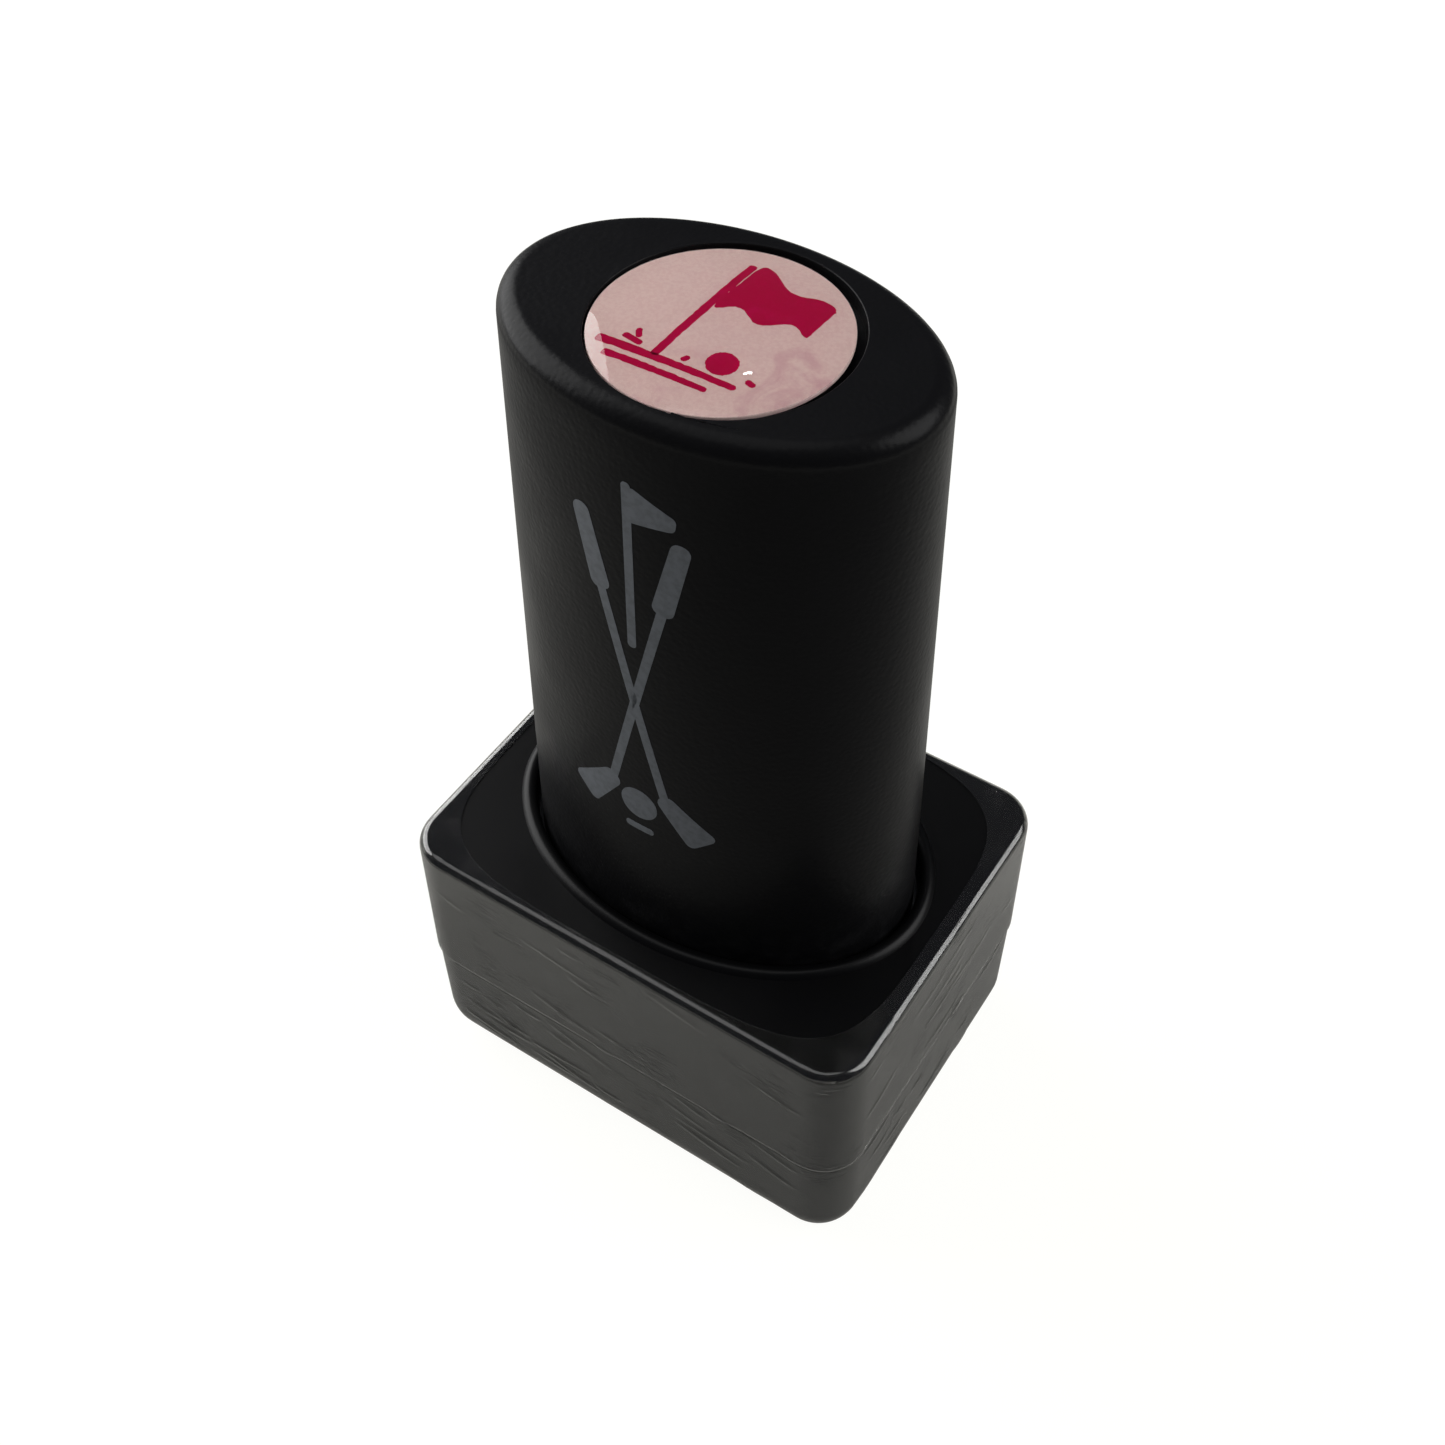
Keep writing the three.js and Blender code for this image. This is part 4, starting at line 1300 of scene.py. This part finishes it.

# %% [markdown]
# ## Floor and light
# The stamp stands on a plain white floor. Black gloss shows only what it mirrors, so the light is the picture: the
# walls mirror the pale floor, the top mirrors a dim, bluish back wall, and the rounded edges, which face every way,
# pick up the soft lights beside and behind. The floor looks white to the camera. In reflections its glow is painted
# light and shade: it is dimmer, with painted shade close to the block, brightest a little way off, and painted shade
# again on the side where the camera stands. A painted bright ring lies further out, which only the steep sides of
# the film's creases mirror, as thin pale lines.

# %% Floor
FLOOR_RADIUS = 1.5
FLOOR_DROP = 0.00002
FLOOR_CAMERA = 0.96
FLOOR_TINT_SEEN = (1, 1, 0.975)
FLOOR_TINT_MIRRORED = (1, 0.985, 0.915)
# Painted light and shade of the floor as mirrored: painted contact shade, a brighter band, camera-side shade and a
# bright ring.
FLOOR_PAINTED_CONTACT_SHADE = 0.17
FLOOR_PEAK = 0.45
FLOOR_PEAK_AT = 30 * MM
FLOOR_FADE = (35 * MM, 110 * MM)
CAMERA_SHADE = (-5 * MM, 50 * MM)
CAMERA_SHADE_LEFT = 0.32
GLINT_RISE = (90 * MM, 130 * MM)
GLINT_FALL = (200 * MM, 290 * MM)
GLINT = 0.8


def vector_math(tree, operation, *values):
    """A Vector Math node on sockets or vectors, which returns its outputs."""
    return add_node(tree, "VectorMath", dict(enumerate(values)), operation=operation).outputs


def floor_material():
    """White floor. Light Path gives reflections another floor than the camera, whose glow is painted light and shade by
    where each point is.
    """
    material, tree, shader = new_material("floor", Base_Color=(0.07, 0.07, 0.07, 1), Roughness=0.9)
    seen = add_node(tree, "LightPath").outputs["Is Camera Ray"]
    place = object_place(tree)
    one_side = vector_math(tree, "ABSOLUTE", place)[0]
    beyond = vector_math(tree, "SUBTRACT", one_side, (*HOUSING_HALF, 1))[0]
    reach = vector_math(tree, "LENGTH", vector_math(tree, "MAXIMUM", beyond, (0, 0, 0))[0])["Value"]
    to_camera = (math.sin(CAMERA_AZIMUTH), -math.cos(CAMERA_AZIMUTH), 0)
    towards = vector_math(tree, "DOT_PRODUCT", place, to_camera)["Value"]
    # Painted shade near the block and painted light further off, times painted shade on the camera's side, plus a
    # painted bright ring.
    lit = math_node(tree, "MULTIPLY", spread(tree, reach, 0, FLOOR_PEAK_AT, FLOOR_PAINTED_CONTACT_SHADE, FLOOR_PEAK),
                    spread(tree, reach, *FLOOR_FADE, 1.0, 0.04))
    near = math_node(tree, "MULTIPLY", lit, spread(tree, towards, *CAMERA_SHADE, 1.0, CAMERA_SHADE_LEFT))
    far = math_node(tree, "MULTIPLY", spread(tree, reach, *GLINT_RISE, 0.0, GLINT),
                    spread(tree, reach, *GLINT_FALL, 1.0, 0.0))
    mirrored = math_node(tree, "ADD", near, far)
    glow = add_node(tree, "Mix", {"Factor": seen, 2: mirrored, 3: FLOOR_CAMERA}, data_type="FLOAT").outputs[0]
    tint = mix_colours(tree, seen, FLOOR_TINT_MIRRORED, FLOOR_TINT_SEEN)
    feed(tree, shader, Emission_Color=tint, Emission_Strength=glow)
    return material


clear_selection()
bpy.ops.mesh.primitive_circle_add(vertices=96, radius=FLOOR_RADIUS, fill_type="NGON", location=(0, 0, -FLOOR_DROP))
floor = bpy.context.object
floor.name = "floor"
floor.data.materials.append(floor_material())

# %% Lights
def soft_light(name, azimuth, elevation, distance, size, power):
    """An area light that looks at the object from a direction. Distance and size are in metres."""
    data = bpy.data.lights.new(name, "AREA")
    data.shape = "DISK"
    data.size = size
    data.energy = power
    light = bpy.data.objects.new(name, data)
    bpy.context.scene.collection.objects.link(light)
    az, el = math.radians(azimuth), math.radians(elevation)
    out = Vector((math.sin(az) * math.cos(el), -math.cos(az) * math.cos(el), math.sin(el)))
    aim = Vector((0, 0, 30 * MM))
    light.location = aim + out * distance
    light.rotation_euler = (-out).to_track_quat("-Z", "Y").to_euler()


for values in (
    ("left", -90, 24, 0.6, 0.75, 5.0),
    ("right_back", 116, 34, 0.6, 0.55, 2.2),
    ("overhead", -50, 80, 0.55, 0.5, 0.5),
    ("lamp", -152, 51.5, 0.6, 0.012, 0.012),
):
    soft_light(*values)

world = bpy.data.worlds.new("studio")
bpy.context.scene.world = world
world.use_nodes = True
world_tree = world.node_tree
background = world_tree.nodes["Background"]
WORLD_DIM = (0.05, 0.052, 0.062)
WORLD_PALE = (0.96, 0.96, 0.935)
seen = add_node(world_tree, "LightPath").outputs["Is Camera Ray"]
world_tree.links.new(mix_colours(world_tree, seen, WORLD_DIM, WORLD_PALE), background.inputs["Color"])
bpy.context.scene.view_settings.view_transform = "Standard"
